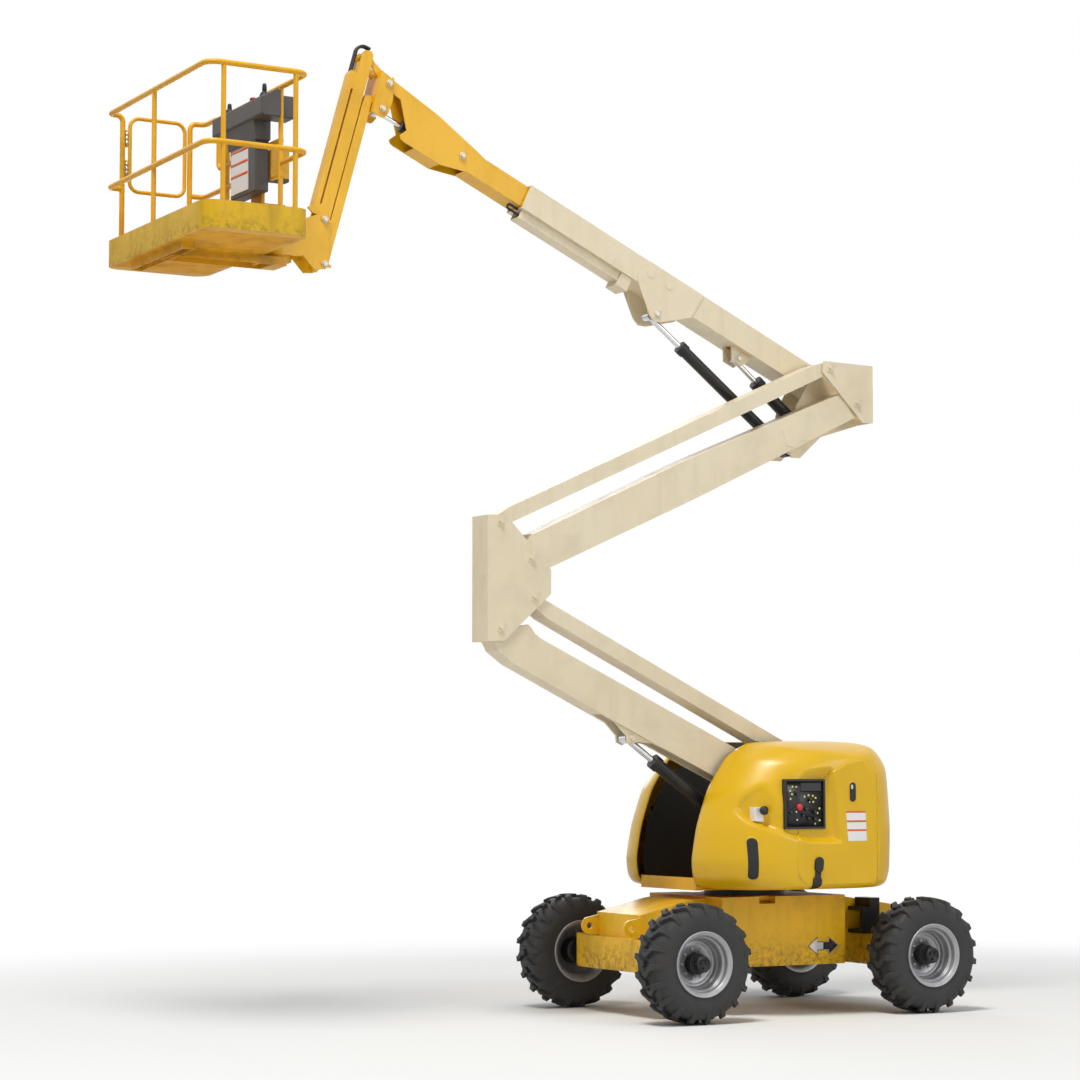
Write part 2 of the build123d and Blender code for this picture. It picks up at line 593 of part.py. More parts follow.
TRAY_TOP = POD_BOTTOM + 40.0
SHELF = (POD_BOTTOM + 28.0, TRAY_TOP)
with BuildPart() as turntable_frame:
    flat_cut([(COUNTER_BLOCK[1], -TRAY_HALF), (COUNTER_BLOCK[1], TRAY_HALF), (668.0, TRAY_HALF),
            (668.0, -TRAY_HALF)], POD_BOTTOM, TRAY_TOP)
    box((644.0, 668.0), (-TRAY_HALF, TRAY_HALF), (POD_BOTTOM, POD_BOTTOM + 90.0))
    for side in (-1, 1):
        shelf = [(POD_REAR_SEAM + 10.0, side * (TRAY_HALF - 1.0))]
        shelf += [(pod_front(y) - 90.0, side * y) for y in (TRAY_HALF - 1.0, 560.0, 700.0, 800.0, 880.0)]
        shelf += [(POD_REAR_SEAM + 10.0, side * 880.0)]
        flat_cut(shelf, SHELF[0], SHELF[1])
    for low, high in (INNER_LUG, OUTER_LUG):
        side_cut([
            (-600.0, POD_BOTTOM + 20.0), (FOOT_C[0] + 30.0, FOOT_C[1] - 240.0), (FOOT_C[0] - 42.0,
                    FOOT_C[1] - 20.0),
            (FOOT_C[0] - 30.0, FOOT_C[1] + 32.0), (FOOT_C[0] + 30.0, FOOT_C[1] + 34.0), (FOOT_D[0] + 60.0,
                    FOOT_D[1] + 50.0),
            (FOOT_D[0] + 85.0, FOOT_D[1] - 20.0), (PIN_T[0] - 40.0, PIN_T[1] + 60.0), (PIN_T[0] + 60.0,
                    PIN_T[1] + 55.0),
            (PIN_T[0] + 80.0, PIN_T[1] - 20.0), (200.0, POD_BOTTOM + 20.0)], low, high)
    for pin in (FOOT_D, FOOT_C, PIN_T):
        cross_round(pin, PIN_RADIUS, INNER_LUG[0], OUTER_LUG[1])
save(turntable_frame, "turntable_frame")

FLANGE_END = POD_INNER + 50.0
SEAT_SHARE = (FLANGE_END - POD_INNER + 1.0) / (561.0 - POD_INNER)
SEAT_NEAR = pulled_in(pod_section(POD_INNER - 1.0), SHELL)[8][1]
SEAT_FAR = pulled_in(pod_section(560.0), SHELL)[8][1]
HOOD_SEAT = SEAT_NEAR + (SEAT_FAR - SEAT_NEAR) * SEAT_SHARE - RUNNING_GAP
for side, name in ((1, "left"), (-1, "right")):
    with BuildPart() as pod_wall:
        low, high = sorted((side * WALL_BAND[0], side * WALL_BAND[1]))
        side_cut(
            [(-535.0, TRAY_TOP), (600.0, TRAY_TOP), (650.0, 1110.0), (600.0, 1400.0), (480.0, 1650.0),
                    (250.0, 1850.0),
             (180.0, HOOD_SEAT), (-535.0, HOOD_SEAT)], low, high)
        low, high = sorted((side * WALL_BAND[0], side * FLANGE_END))
        box((-535.0, 180.0), (low, high), (HOOD_SEAT - 8.0, HOOD_SEAT))
        low, high = sorted((side * (TRAY_HALF - 0.5), side * WALL_BAND[1]))
        box((-535.0, 600.0), (low, high), (TRAY_TOP, TRAY_TOP + 6.0))
        low, high = sorted((side * HINGE_Y, side * WALL_BAND[1]))
        for start, stop in HOOD_HINGES:
            for ear_start in (start, stop - EAR):
                box((ear_start, ear_start + EAR), (low, high), (HINGE_Z - 14.0, HOOD_SEAT))
                with BuildSketch(Plane.YZ.offset(ear_start)) as ear_end:
                    with Locations((side * HINGE_Y, HINGE_Z)):
                        Circle(HINGE_BARREL)
                extrude(ear_end.sketch, amount=EAR)
            with BuildSketch(Plane.YZ.offset(start)) as pin_end:
                with Locations((side * HINGE_Y, HINGE_Z)):
                    Circle(HINGE_PIN)
            extrude(pin_end.sketch, amount=stop - start)
    save(pod_wall, f"pod_wall_{name}")

with BuildPart() as battery_box:
    box((-500.0, 380.0), (-POD_INNER - 320.0, -POD_INNER - 20.0), (TRAY_TOP, 1500.0))
save(battery_box, "battery_box")

with BuildPart() as tank_box:
    box((-500.0, 300.0), (POD_INNER + 20.0, POD_INNER + 300.0), (TRAY_TOP, 1290.0))
save(tank_box, "tank_box")

# Tower


def open_beam(foot, angle, outline, walls, band, ends):
    """A hollow arm: an outline on its pin line, open at both ends."""
    side_cut(path(foot, angle, outline), band[0], band[1])
    top_rear, top_front, low_front, low_rear = walls
    hollow = path(foot, angle, [(ends[0], low_rear), (ends[0], top_rear), (ends[1], top_front),
            (ends[1], low_front)])
    side_cut(hollow, band[0] + 8.0, band[1] - 8.0, mode=Mode.SUBTRACT)


CYLINDER_SLOT = 62.0
with BuildPart() as lower_arm:
    open_beam(
        FOOT_D, LOWER_ARM_ANGLE,
        [(-70, -60), (-70, 60), (-20, 128), (ARM_LENGTH - 322, 84), (ARM_LENGTH - 262, 96),
                (ARM_LENGTH - 217, 122),
         (ARM_LENGTH - 187, 126), (ARM_LENGTH - 147, 100), (ARM_LENGTH - 122, 70),
         (ARM_LENGTH + 60, 50), (ARM_LENGTH + 76, 0), (ARM_LENGTH + 60, -50), (ARM_LENGTH + 20, -92),
         (ARM_LENGTH - 60, -148), (ARM_LENGTH - 212, -174), (1700, -166), (0, -128)],
        (118.0, 68.0, -60.0, -116.0), ARM_BAND, (120.0, ARM_LENGTH - 332.0))
    slot = path(FOOT_D, LOWER_ARM_ANGLE, [(250, -200), (2100, -200), (2100, -80), (250, -40)])
    side_cut(slot, ARM_MIDDLE - CYLINDER_SLOT, ARM_MIDDLE + CYLINDER_SLOT, mode=Mode.SUBTRACT)
    for pin in (FOOT_D, PIN_D):
        cross_round(pin, PIN_RADIUS + PIN_FIT, ARM_BAND[0] - 1, ARM_BAND[1] + 1, mode=Mode.SUBTRACT)
    lug = path(FOOT_D, LOWER_ARM_ANGLE, [(1600, -130), (2000, -130), (2000, -160), (1846, -215),
            (1820, -255), (1772, -255), (1746, -215), (1600, -160)])
    for low, high in ((ARM_MIDDLE - CYLINDER_SLOT - 18.0, ARM_MIDDLE - CYLINDER_SLOT),
            (ARM_MIDDLE + CYLINDER_SLOT, ARM_MIDDLE + CYLINDER_SLOT + 18.0)):
        side_cut(lug, low, high)
    bolt_head(PIN_F, ARM_MIDDLE + CYLINDER_SLOT + 18.0)
save(lower_arm, "lower_arm")

with BuildPart() as lower_link:
    open_beam(
        FOOT_C, LOWER_ARM_ANGLE,
        [(-50, -40), (-50, 25), (ARM_LENGTH - 62, 25), (ARM_LENGTH + 40, 20), (ARM_LENGTH + 48, -20),
                (ARM_LENGTH + 20, -50),
         (ARM_LENGTH - 162, -85), (120, -85)],
        (19.0, 19.0, -79.0, -79.0), ARM_BAND, (120.0, ARM_LENGTH - 162.0))
    for pin in (FOOT_C, PIN_C):
        cross_round(pin, PIN_RADIUS + PIN_FIT, ARM_BAND[0] - 1, ARM_BAND[1] + 1, mode=Mode.SUBTRACT)
save(lower_link, "lower_link")

UPRIGHT_FRONT = PIN_D[0] + 111.0
with BuildPart() as front_upright:
    for low, high in (INNER_PLATE, NEAR_PLATE):
        side_cut([
            (UPRIGHT_FRONT, PIN_D[1] + 795), (PIN_A[0] - 40, PIN_A[1] + 49), (PIN_B[0] - 156, PIN_B[1] - 78),
            (PIN_C[0] - 133, PIN_C[1] + 25), (PIN_D[0] - 23, PIN_D[1] - 90), (UPRIGHT_FRONT,
                    PIN_D[1] - 95)], low, high)
    box((UPRIGHT_FRONT - 10.0, UPRIGHT_FRONT), (INNER_PLATE[0], NEAR_PLATE[1]),
            (PIN_D[1] - 95, PIN_D[1] + 795))
    for pin in (PIN_A, PIN_B, PIN_C, PIN_D):
        cross_round(pin, PIN_RADIUS, INNER_PLATE[0], NEAR_PLATE[1])
        bolt_head(pin, NEAR_PLATE[1])
save(front_upright, "front_upright")

with BuildPart() as middle_arm:
    open_beam(
        PIN_B, 180 - MIDDLE_ARM_ANGLE,
        [(-70, 60), (-70, -60), (100, -150), (ARM_LENGTH / 2 - 56, -162), (ARM_LENGTH - 52, -112),
                (ARM_LENGTH + 60, -60),
         (ARM_LENGTH + 60, 60), (ARM_LENGTH - 52, 100), (ARM_LENGTH / 2 - 56, 126), (0, 120)],
        (-140.0, -112.0, 100.0, 112.0), ARM_BAND, (140.0, ARM_LENGTH - 152.0))
    for pin in (PIN_B, PIN_H):
        cross_round(pin, PIN_RADIUS + PIN_FIT, ARM_BAND[0] - 1, ARM_BAND[1] + 1, mode=Mode.SUBTRACT)
    doubler = [(-732, 60), (-682, 96), (-592, 70), (-512, 106), (-72, 96), (-72, -104), (-552, -118),
            (-642, -84), (-712, -60)]
    side_cut(path(PIN_H, 180 - MIDDLE_ARM_ANGLE, doubler), ARM_BAND[1], ARM_BAND[1] + 3.0)
save(middle_arm, "middle_arm")

with BuildPart() as upper_link:
    open_beam(
        PIN_A, 180 - MIDDLE_ARM_ANGLE,
        [(-45, 25), (-45, -40), (120, -65), (ARM_LENGTH - 112, -65), (ARM_LENGTH + 45, -40),
                (ARM_LENGTH + 45, 30),
         (ARM_LENGTH - 112, 42), (100, 42)],
        (-59.0, -59.0, 36.0, 36.0), ARM_BAND, (120.0, ARM_LENGTH - 112.0))
    for pin in (PIN_A, PIN_G):
        cross_round(pin, PIN_RADIUS + PIN_FIT, ARM_BAND[0] - 1, ARM_BAND[1] + 1, mode=Mode.SUBTRACT)
save(upper_link, "upper_link")

UPRIGHT_REAR = PIN_H[0] - 146.0
UPRIGHT_INNER = [
    (PIN_G[0] + 54, PIN_G[1] + 48), (UPRIGHT_REAR, PIN_G[1] + 40), (UPRIGHT_REAR, PIN_H[1] - 145),
    (PIN_R[0] - 60, PIN_R[1] - 40), (PIN_Q[0] - 40, PIN_Q[1] - 55), (PIN_Q[0] + 40, PIN_Q[1] - 55),
    (PIN_Q[0] + 62, PIN_Q[1] + 20), (PIN_G[0] + 160, PIN_G[1] - 280), (PIN_G[0] + 60, PIN_G[1] - 108)]
with BuildPart() as rear_upright:
    side_cut([
        (PIN_G[0] + 54, PIN_G[1] + 48), (UPRIGHT_REAR, PIN_G[1] + 40), (UPRIGHT_REAR, PIN_H[1] - 145),
        (PIN_H[0] - 51, PIN_H[1] - 150), (PIN_G[0] + 67, PIN_G[1] - 36)], *NEAR_PLATE)
    for low, high in (INNER_PLATE, FAR_PLATE):
        side_cut(UPRIGHT_INNER, low, high)
    box((UPRIGHT_REAR, UPRIGHT_REAR + PLATE), (FAR_PLATE[0], NEAR_PLATE[1]), (PIN_H[1] - 145, PIN_G[1] + 40))
    for pin in (PIN_G, PIN_H):
        cross_round(pin, PIN_RADIUS, INNER_PLATE[0], NEAR_PLATE[1])
        bolt_head(pin, NEAR_PLATE[1])
    for pin in (PIN_P, PIN_Q, PIN_R):
        cross_round(pin, PIN_RADIUS, FAR_PLATE[0], INNER_PLATE[1])
save(rear_upright, "rear_upright")

# Boom

HALF_BOOM = BOOM_DEPTH / 2
BASE_BOTTOM = -HALF_BOOM


def on_boom(pairs):
    """An outline along the boom from its rear pin."""
    return path(PIN_P, BOOM_ANGLE, pairs)


LUG_OUTLINE = [(1270, 95), (1300, -110), (1510, -270), (1570, -292), (1625, -270), (1770, -140),
        (1830, -80), (1850, -20), (1850, 40), (1800, 95)]
LUG_BOSSES = [(1745, 23), (1570, 22)]
PADS = (BASE_BOOM_LENGTH - 120.0, BASE_BOOM_LENGTH - 10.0)
TRAY = (BASE_BOOM_LENGTH - 940.0, BASE_BOOM_LENGTH - 20.0)
with BuildPart() as base_boom:
    side_cut(on_boom([(0, -HALF_BOOM), (BASE_BOOM_LENGTH, -HALF_BOOM), (BASE_BOOM_LENGTH, HALF_BOOM),
            (0, HALF_BOOM)]), -BOOM_WIDTH / 2, BOOM_WIDTH / 2)
    cross_round(PIN_P, HALF_BOOM, -BOOM_WIDTH / 2, BOOM_WIDTH / 2)
    inner = HALF_BOOM - BOOM_WALL
    side_cut(
        on_boom([(60, -inner), (BASE_BOOM_LENGTH + 1, -inner), (BASE_BOOM_LENGTH + 1, inner), (60, inner)]),
        -BOOM_WIDTH / 2 + BOOM_WALL, BOOM_WIDTH / 2 - BOOM_WALL, mode=Mode.SUBTRACT)
    side_cut(on_boom([(690, -HALF_BOOM - 1), (690, -inner + 1), (860, -inner + 1), (860, -HALF_BOOM - 1)]),
            -42.0, 42.0, mode=Mode.SUBTRACT)
    cross_round(PIN_P, PIN_RADIUS + PIN_FIT, -BOOM_WIDTH / 2 - 1, BOOM_WIDTH / 2 + 1, mode=Mode.SUBTRACT)
    for side in (-1, 1):
        low, high = sorted((side * BOOM_WIDTH / 2, side * (BOOM_WIDTH / 2 + 5.5)))
        side_cut(on_boom(LUG_OUTLINE), low, high)
        low, high = sorted((side * (BOOM_WIDTH / 2 - 12.0), side * BOOM_WIDTH / 2))
        side_cut(on_boom([(1300, -HALF_BOOM + 2), (1510, -270), (1570, -292), (1625, -270),
                (1790, -HALF_BOOM + 2)]), low, high)
        low, high = sorted((side * 50.0, side * 62.0))
        side_cut(on_boom([(670, -HALF_BOOM + 2), (720, -195), (820, -195), (870, -HALF_BOOM + 2)]), low, high)
        low, high = sorted((side * (FLY_WIDTH / 2 + RUNNING_GAP), side * (BOOM_WIDTH / 2 - BOOM_WALL + 1.0)))
        side_cut(on_boom([(PADS[0], -60), (PADS[1], -60), (PADS[1], 60), (PADS[0], 60)]), low, high)
        low, high = sorted((side * (FLY_DEPTH / 2 + RUNNING_GAP), side * (inner + 1.0)))
        side_cut(on_boom([(PADS[0], low), (PADS[1], low), (PADS[1], high), (PADS[0], high)]), -70.0, 70.0)
    for along, above in LUG_BOSSES:
        cross_round(step(PIN_P, BOOM_ANGLE, along, above), 40.0, BOOM_WIDTH / 2 + 4.0, BOOM_WIDTH / 2 + 8.5)
    bolt_head(PIN_I, BOOM_WIDTH / 2 + 5.5, height=7.0)
    bolt_head(PIN_J, 62.0)
save(base_boom, "base_boom")

with BuildPart() as hose_tray:
    side_cut(
        on_boom([(TRAY[0], BASE_BOTTOM), (TRAY[1], BASE_BOTTOM), (TRAY[1], BASE_BOTTOM - 66),
                (TRAY[0], BASE_BOTTOM - 66)]),
        -40.0, 85.0)
    side_cut(
        on_boom([
            (TRAY[0], BASE_BOTTOM - 8), (TRAY[1] + 1, BASE_BOTTOM - 8), (TRAY[1] + 1, BASE_BOTTOM - 58),
            (TRAY[0], BASE_BOTTOM - 58)]),
        -32.0, 77.0, mode=Mode.SUBTRACT)
    side_cut(
        on_boom([
            (TRAY[0] - 98, BASE_BOTTOM), (TRAY[0], BASE_BOTTOM), (TRAY[0], BASE_BOTTOM - 105),
            (TRAY[0] - 98, BASE_BOTTOM - 105)]),
        -60.0, 100.0)
save(hose_tray, "hose_tray")

with BuildPart() as tray_hose:
    hose_route = on_boom([(BASE_BOOM_LENGTH + along, above) for along, above in ((-140, -135), (85, -135),
            (85, -101), (0, -101))])
    tube([(x, 60.0, z) for x, z in hose_route], 9.0, [16.0, 16.0])
save(tray_hose, "tray_hose")
NOSE_PLATES = ((-FLY_WIDTH / 2, -FLY_WIDTH / 2 + 12.0), (FLY_WIDTH / 2 - 12.0, FLY_WIDTH / 2))
NOSE_OUTLINE = [
    (3300, -79), (3300, 79), (3380, 98), (3750, 168), (4200, 212), (4240, 195), (4240, 140), (4133,
            122), (4067, 116),
    (3930, -60), (3962, -120), (3945, -140), (3915, -146), (3600, -145), (3380, -79)]
with BuildPart() as fly_boom:
    half = FLY_DEPTH / 2
    side_cut(on_boom([(700, -half), (3400, -half), (3400, half), (700, half)]), -FLY_WIDTH / 2, FLY_WIDTH / 2)
    side_cut(
        on_boom([(690, -half + 6), (3410, -half + 6), (3410, half - 6), (690, half - 6)]),
        -FLY_WIDTH / 2 + 6, FLY_WIDTH / 2 - 6, mode=Mode.SUBTRACT)
    for low, high in NOSE_PLATES:
        side_cut(on_boom(NOSE_OUTLINE), low, high)
    side_cut(on_boom([(3600, -145), (3820, -145), (3820, -135), (3600, -135)]), -FLY_WIDTH / 2, FLY_WIDTH / 2)
    side_cut(on_boom([(3385, 97), (3750, 166), (4100, 200), (4100, 192), (3750, 158), (3385, 89)]),
            -FLY_WIDTH / 2, FLY_WIDTH / 2)
    cross_round(PIN_K1, PIN_RADIUS, -FLY_WIDTH / 2, FLY_WIDTH / 2)
    cross_round(PIN_K2, PIN_RADIUS + PIN_FIT, -FLY_WIDTH / 2 - 1, FLY_WIDTH / 2 + 1, mode=Mode.SUBTRACT)
    bolt_head(PIN_K1, FLY_WIDTH / 2)
save(fly_boom, "fly_boom")

# Hydraulic cylinder table: name, lower pin, upper pin, middle station, barrel radius, rod radius,
# share of the barrel, rod's inner end, rod eye radius, eye half width.
CYLINDERS = [
    ("tower_cylinder", PIN_T, PIN_F, ARM_MIDDLE, 48.0, 24.0, 0.81, 800.0, 38.0, 45.0),
    ("lift_cylinder", PIN_Q, PIN_I, 0.0, 43.0, 22.5, 0.78, 600.0, 36.0, 42.0),
    ("level_cylinder", PIN_R, PIN_J, 0.0, 48.0, 20.0, 0.70, 260.0, 20.5, 38.0),
    ("slave_cylinder", PIN_K1, PIN_K3, 0.0, 34.0, 17.0, 0.70, 320.0, 31.0, 34.0),
]
for name, lower, upper, y_middle, barrel_radius, rod_radius, share, rod_start, rod_eye, eye_half in CYLINDERS:
    length, angle = reach(lower, upper)
    a = radians(angle)
    line = Plane(origin=(lower[0], y_middle, lower[1]), x_dir=(0, 1, 0), z_dir=(cos(a), 0, sin(a)))
    with BuildPart() as barrel:
        with BuildSketch(line.offset(20.0)):
            Circle(barrel_radius)
        extrude(amount=share * length - 20.0)
        with BuildSketch(line.offset(share * length - 60.0)):
            Circle(barrel_radius + 8.0)
        extrude(amount=60.0)
        with BuildSketch(line.offset(95.0)):
            Circle(barrel_radius + 4.0)
        extrude(amount=24.0)
        with BuildSketch(line.offset(130.0)):
            with Locations((0.0, barrel_radius)):
                RectangleRounded(26.0, 26.0, 5.0)
        extrude(amount=60.0)
        cross_round(lower, PIN_RADIUS + 14.0, y_middle - eye_half, y_middle + eye_half)
        with BuildSketch(line.offset(PIN_RADIUS + 40.0)):
            Circle(rod_radius + PIN_FIT)
        extrude(amount=share * length, mode=Mode.SUBTRACT)
        cross_round(lower, PIN_RADIUS + PIN_FIT, y_middle - eye_half - 60, y_middle + eye_half + 60,
                mode=Mode.SUBTRACT)
    save(barrel, f"{name}_barrel")
    with BuildPart() as rod:
        with BuildSketch(line.offset(rod_start)):
            Circle(rod_radius)
        extrude(amount=length - rod_start)
        cross_round(upper, rod_eye, y_middle - eye_half, y_middle + eye_half)
    save(rod, f"{name}_rod")

# Jib

JIB_HALF = 78.0
KNUCKLE_PLATES = ((-FLY_WIDTH / 2 - GAP - 12.0, -FLY_WIDTH / 2 - GAP),
        (FLY_WIDTH / 2 + GAP, FLY_WIDTH / 2 + GAP + 12.0))
KNUCKLE_OUTLINE = near(PIN_K2, [
    (60, 85), (0, 50), (-33, 21), (-29, -108), (6, -214), (30, -244), (48, -253), (75, -248), (135, -215)])
with BuildPart() as jib_knuckle:
    for low, high in KNUCKLE_PLATES:
        side_cut(KNUCKLE_OUTLINE, low, high)
    side_cut(near(PIN_K2, [(60, 85), (46, 82), (121, -219), (135, -215)]), KNUCKLE_PLATES[0][0],
            KNUCKLE_PLATES[1][1])
    for low, high in ((-60.0, -46.0), (46.0, 60.0)):
        side_cut(near(PIN_K4, [(-54, -35), (-112, -88), (-94, -150), (-45, -89), (-15, -36), (20, 0),
                (-25, 31)]), low, high)
        cross_round(PIN_K4, 40.0, low, high)
        side_cut(path(PIN_K4, JIB_ANGLE, [(255, -128), (280, -56), (326, -56), (345, -128)]), low, high)
        cross_round(PIN_K5, 31.0, low, high)
    cross_round(PIN_K2, PIN_RADIUS, KNUCKLE_PLATES[0][0], KNUCKLE_PLATES[1][1])
    for pin in (PIN_K4, PIN_K5):
        cross_round(pin, PIN_RADIUS, -JIB_HALF, JIB_HALF)
    for pin in (PIN_K2, PIN_K3):
        bolt_head(pin, KNUCKLE_PLATES[1][1])
save(jib_knuckle, "jib_knuckle")

FORK = 12.0
END = JIB_LENGTH


def fork_tube(pin, ends, body):
    """A jib tube: fork plates at both pins and a closed box between them."""
    side_cut(path(pin, JIB_ANGLE, ends), -JIB_HALF, JIB_HALF)
    low, high = -JIB_HALF + FORK, JIB_HALF - FORK
    for start, stop in ((-60.0, 60.0), (END - 60.0, END + 60.0)):
        mouth = [(start, -70), (start, 70), (stop, 70), (stop, -70)]
        side_cut(path(pin, JIB_ANGLE, mouth), low, high, mode=Mode.SUBTRACT)
    bottom, top = body
    hollow = [(70, bottom), (70, top), (END - 70, top), (END - 70, bottom)]
    side_cut(path(pin, JIB_ANGLE, hollow), low + 6.0, high - 6.0, mode=Mode.SUBTRACT)
    for centre in (pin, step(pin, JIB_ANGLE, END)):
        cross_round(centre, PIN_RADIUS + PIN_FIT, -100, 100, mode=Mode.SUBTRACT)


with BuildPart() as jib_link:
    fork_tube(
        PIN_K4,
        [(-38, -16), (-30, 24), (-16, 38), (20, 46), (END - 20, 46), (END + 22, 36), (END + 38, 10),
                (END + 36, -20),
         (END + 18, -36), (END - 20, -42), (20, -42), (-20, -36)],
        (-36.0, 40.0))
    channel = [(150, 92), (172, 98), (1190, 98), (1205, 61), (150, 61)]
    side_cut(path(PIN_K4, JIB_ANGLE, channel), -10.0, JIB_HALF)
    side_cut(path(PIN_K4, JIB_ANGLE, [(100, 92), (1215, 92), (1215, 66), (100, 66)]), -5.0, JIB_HALF - 5.0,
            mode=Mode.SUBTRACT)
    for start, stop in ((172, 278), (1156, 1190)):
        side_cut(path(PIN_K4, JIB_ANGLE, [(start, 40), (start, 66), (stop, 66), (stop, 40)]), -10.0, JIB_HALF)
    foot = [(1150, 44), (1179, 117), (1213, 140), (1236, 96), (1236, 44)]
    side_cut(path(PIN_K4, JIB_ANGLE, foot), JIB_HALF - 14.0, JIB_HALF)
save(jib_link, "jib_link")

with BuildPart() as jib_arm:
    fork_tube(
        PIN_K5,
        [(-28, -12), (-28, 12), (-10, 28), (60, 33.5), (END, 33.5), (END + 26, 22), (END + 34, 0),
                (END + 26, -22),
         (END, -33.5), (60, -33.5), (-10, -28)],
        (-27.5, 27.5))
save(jib_arm, "jib_arm")

ROTATOR_RADIUS = 98.0
BRACKET_PLATES = ((-96.0, -84.0), (84.0, 96.0))
ROTATOR_Z = (PIN_K7[1] + 40.0, PIN_K6[1] - 20.0)
with BuildPart() as jib_bracket:
    for low, high in BRACKET_PLATES:
        side_cut([
            (PIN_K6[0] - 38, PIN_K6[1] + 10), (PIN_K6[0] - 10, PIN_K6[1] + 38), (PIN_K6[0] + 40,
                    PIN_K6[1] + 38),
            (ROTATOR_X - 120, ROTATOR_Z[1] - 2), (ROTATOR_X - 10, ROTATOR_Z[1] - 2), (ROTATOR_X - 10,
                    ROTATOR_Z[0] + 8),
            (ROTATOR_X - 152, ROTATOR_Z[0] + 8), (ROTATOR_X - 152, PIN_K7[1] + 52), (PIN_K7[0] + 79,
                    PIN_K7[1] - 41),
            (PIN_K7[0] + 10, PIN_K7[1] - 36), (PIN_K7[0] - 32, PIN_K7[1] - 18)], low, high)
    upright_round((ROTATOR_X, 0), ROTATOR_RADIUS, *ROTATOR_Z)
    box((ROTATOR_X - 140.0, ROTATOR_X), BRACKET_PLATES[1], (ROTATOR_Z[0], ROTATOR_Z[0] + 40.0))
    web = [
        (ROTATOR_X - 200, PIN_K7[1] + 159), (ROTATOR_X - 192, PIN_K7[1] + 165), (ROTATOR_X - 140,
                PIN_K6[1] - 2),
        (ROTATOR_X - 150, PIN_K6[1] - 2)]
    side_cut(web, BRACKET_PLATES[0][0], BRACKET_PLATES[1][1])
    for pin in (PIN_K6, PIN_K7):
        cross_round(pin, PIN_RADIUS, BRACKET_PLATES[0][0], BRACKET_PLATES[1][1])
        bolt_head(pin, BRACKET_PLATES[1][1], keeper_angle=20.0)
save(jib_bracket, "jib_bracket")

# Hose pair: station across, radius.
HOSES = [(6.5, 11.0), (29.0, 11.0)]
with BuildPart() as jib_hoses:
    for y_hose, hose_radius in HOSES:
        lift = 66.0 + hose_radius + RUNNING_GAP
        route = [step(PIN_K4, JIB_ANGLE, 300.0, lift), step(PIN_K4, JIB_ANGLE, -75.0, lift),
                (PIN_K4[0] - 37.0, PIN_K4[1] + 60.0)]
        tube([(x, y_hose, z) for x, z in route], hose_radius, [60.0])
    clip = [(235, 66.3), (235, 88), (255, 88), (255, 66.3)]
    side_cut(path(PIN_K4, JIB_ANGLE, clip), HOSES[0][0], HOSES[1][0])
save(jib_hoses, "jib_hoses")

# Platform

PLATFORM_FRONT = PLATFORM_REAR + PLATFORM_DEPTH
PLATFORM_MIDDLE = (PLATFORM_REAR + PLATFORM_FRONT) / 2
HALF_WIDTH = PLATFORM_WIDTH / 2
CORNER = 110.0
FLOOR_Z = TOE_BOTTOM + 18.0
SUPPORT_ARM = (PIN_K6[1] + 50.0, PIN_K6[1] + 72.0)
COLUMN_X = (PLATFORM_REAR - 24.0, PLATFORM_REAR)

with BuildPart() as platform_support:
    upright_round((ROTATOR_X, 0), ROTATOR_RADIUS, ROTATOR_Z[0] - 38.0, ROTATOR_Z[0] - RUNNING_GAP)
    box((ROTATOR_X - 20, PLATFORM_FRONT - 100), (-100.0, 120.0), (TOE_BOTTOM - 58.0, TOE_BOTTOM))
    box((ROTATOR_X + 90, PLATFORM_FRONT - 108), (-92.0, 112.0), (TOE_BOTTOM - 59.0, TOE_BOTTOM - 8.0),
            mode=Mode.SUBTRACT)
    box((PLATFORM_FRONT - 162, PLATFORM_FRONT - 77), (-600.0, 360.0), (TOE_BOTTOM - 53.0, TOE_BOTTOM))
    box((PLATFORM_FRONT - 154, PLATFORM_FRONT - 85), (-592.0, 352.0), (TOE_BOTTOM - 54.0, TOE_BOTTOM - 8.0),
            mode=Mode.SUBTRACT)
    upright_round((ROTATOR_X, 0), ROTATOR_RADIUS, ROTATOR_Z[1] + RUNNING_GAP, ROTATOR_Z[1] + 60.0)
    upright_round((ROTATOR_X, 0), 60.0, ROTATOR_Z[1] + 58.0, SUPPORT_ARM[0] + 1.0)
    box((ROTATOR_X - 20.0, COLUMN_X[1]), (-90.0, 90.0), SUPPORT_ARM)
    box(COLUMN_X, (-90.0, 90.0), (TOE_BOTTOM - 40.0, MID_RAIL_TOP))
    upright_round((ROTATOR_X, 0), 40.0, ROTATOR_Z[1] + 20.0, SUPPORT_ARM[0] + 1.0)
save(platform_support, "platform_support")

BAR_PITCH = 30.0
with BuildPart() as platform_floor:
    inner_depth = PLATFORM_DEPTH - 2 * TOE_WALL
    inner_width = PLATFORM_WIDTH - 2 * TOE_WALL
    with BuildSketch(Plane.XY.offset(TOE_BOTTOM)) as plate:
        with Locations((PLATFORM_MIDDLE, 0)):
            RectangleRounded(inner_depth, inner_width, CORNER - TOE_WALL)
        with Locations((PLATFORM_MIDDLE, 0)):
            with GridLocations(1.0, BAR_PITCH, 1, int((inner_width - 2 * CORNER) / BAR_PITCH)):
                SlotOverall(inner_depth - 60.0, BAR_PITCH - 12.0, mode=Mode.SUBTRACT)
    extrude(plate.sketch, amount=FLOOR_Z - TOE_BOTTOM)
save(platform_floor, "platform_floor")

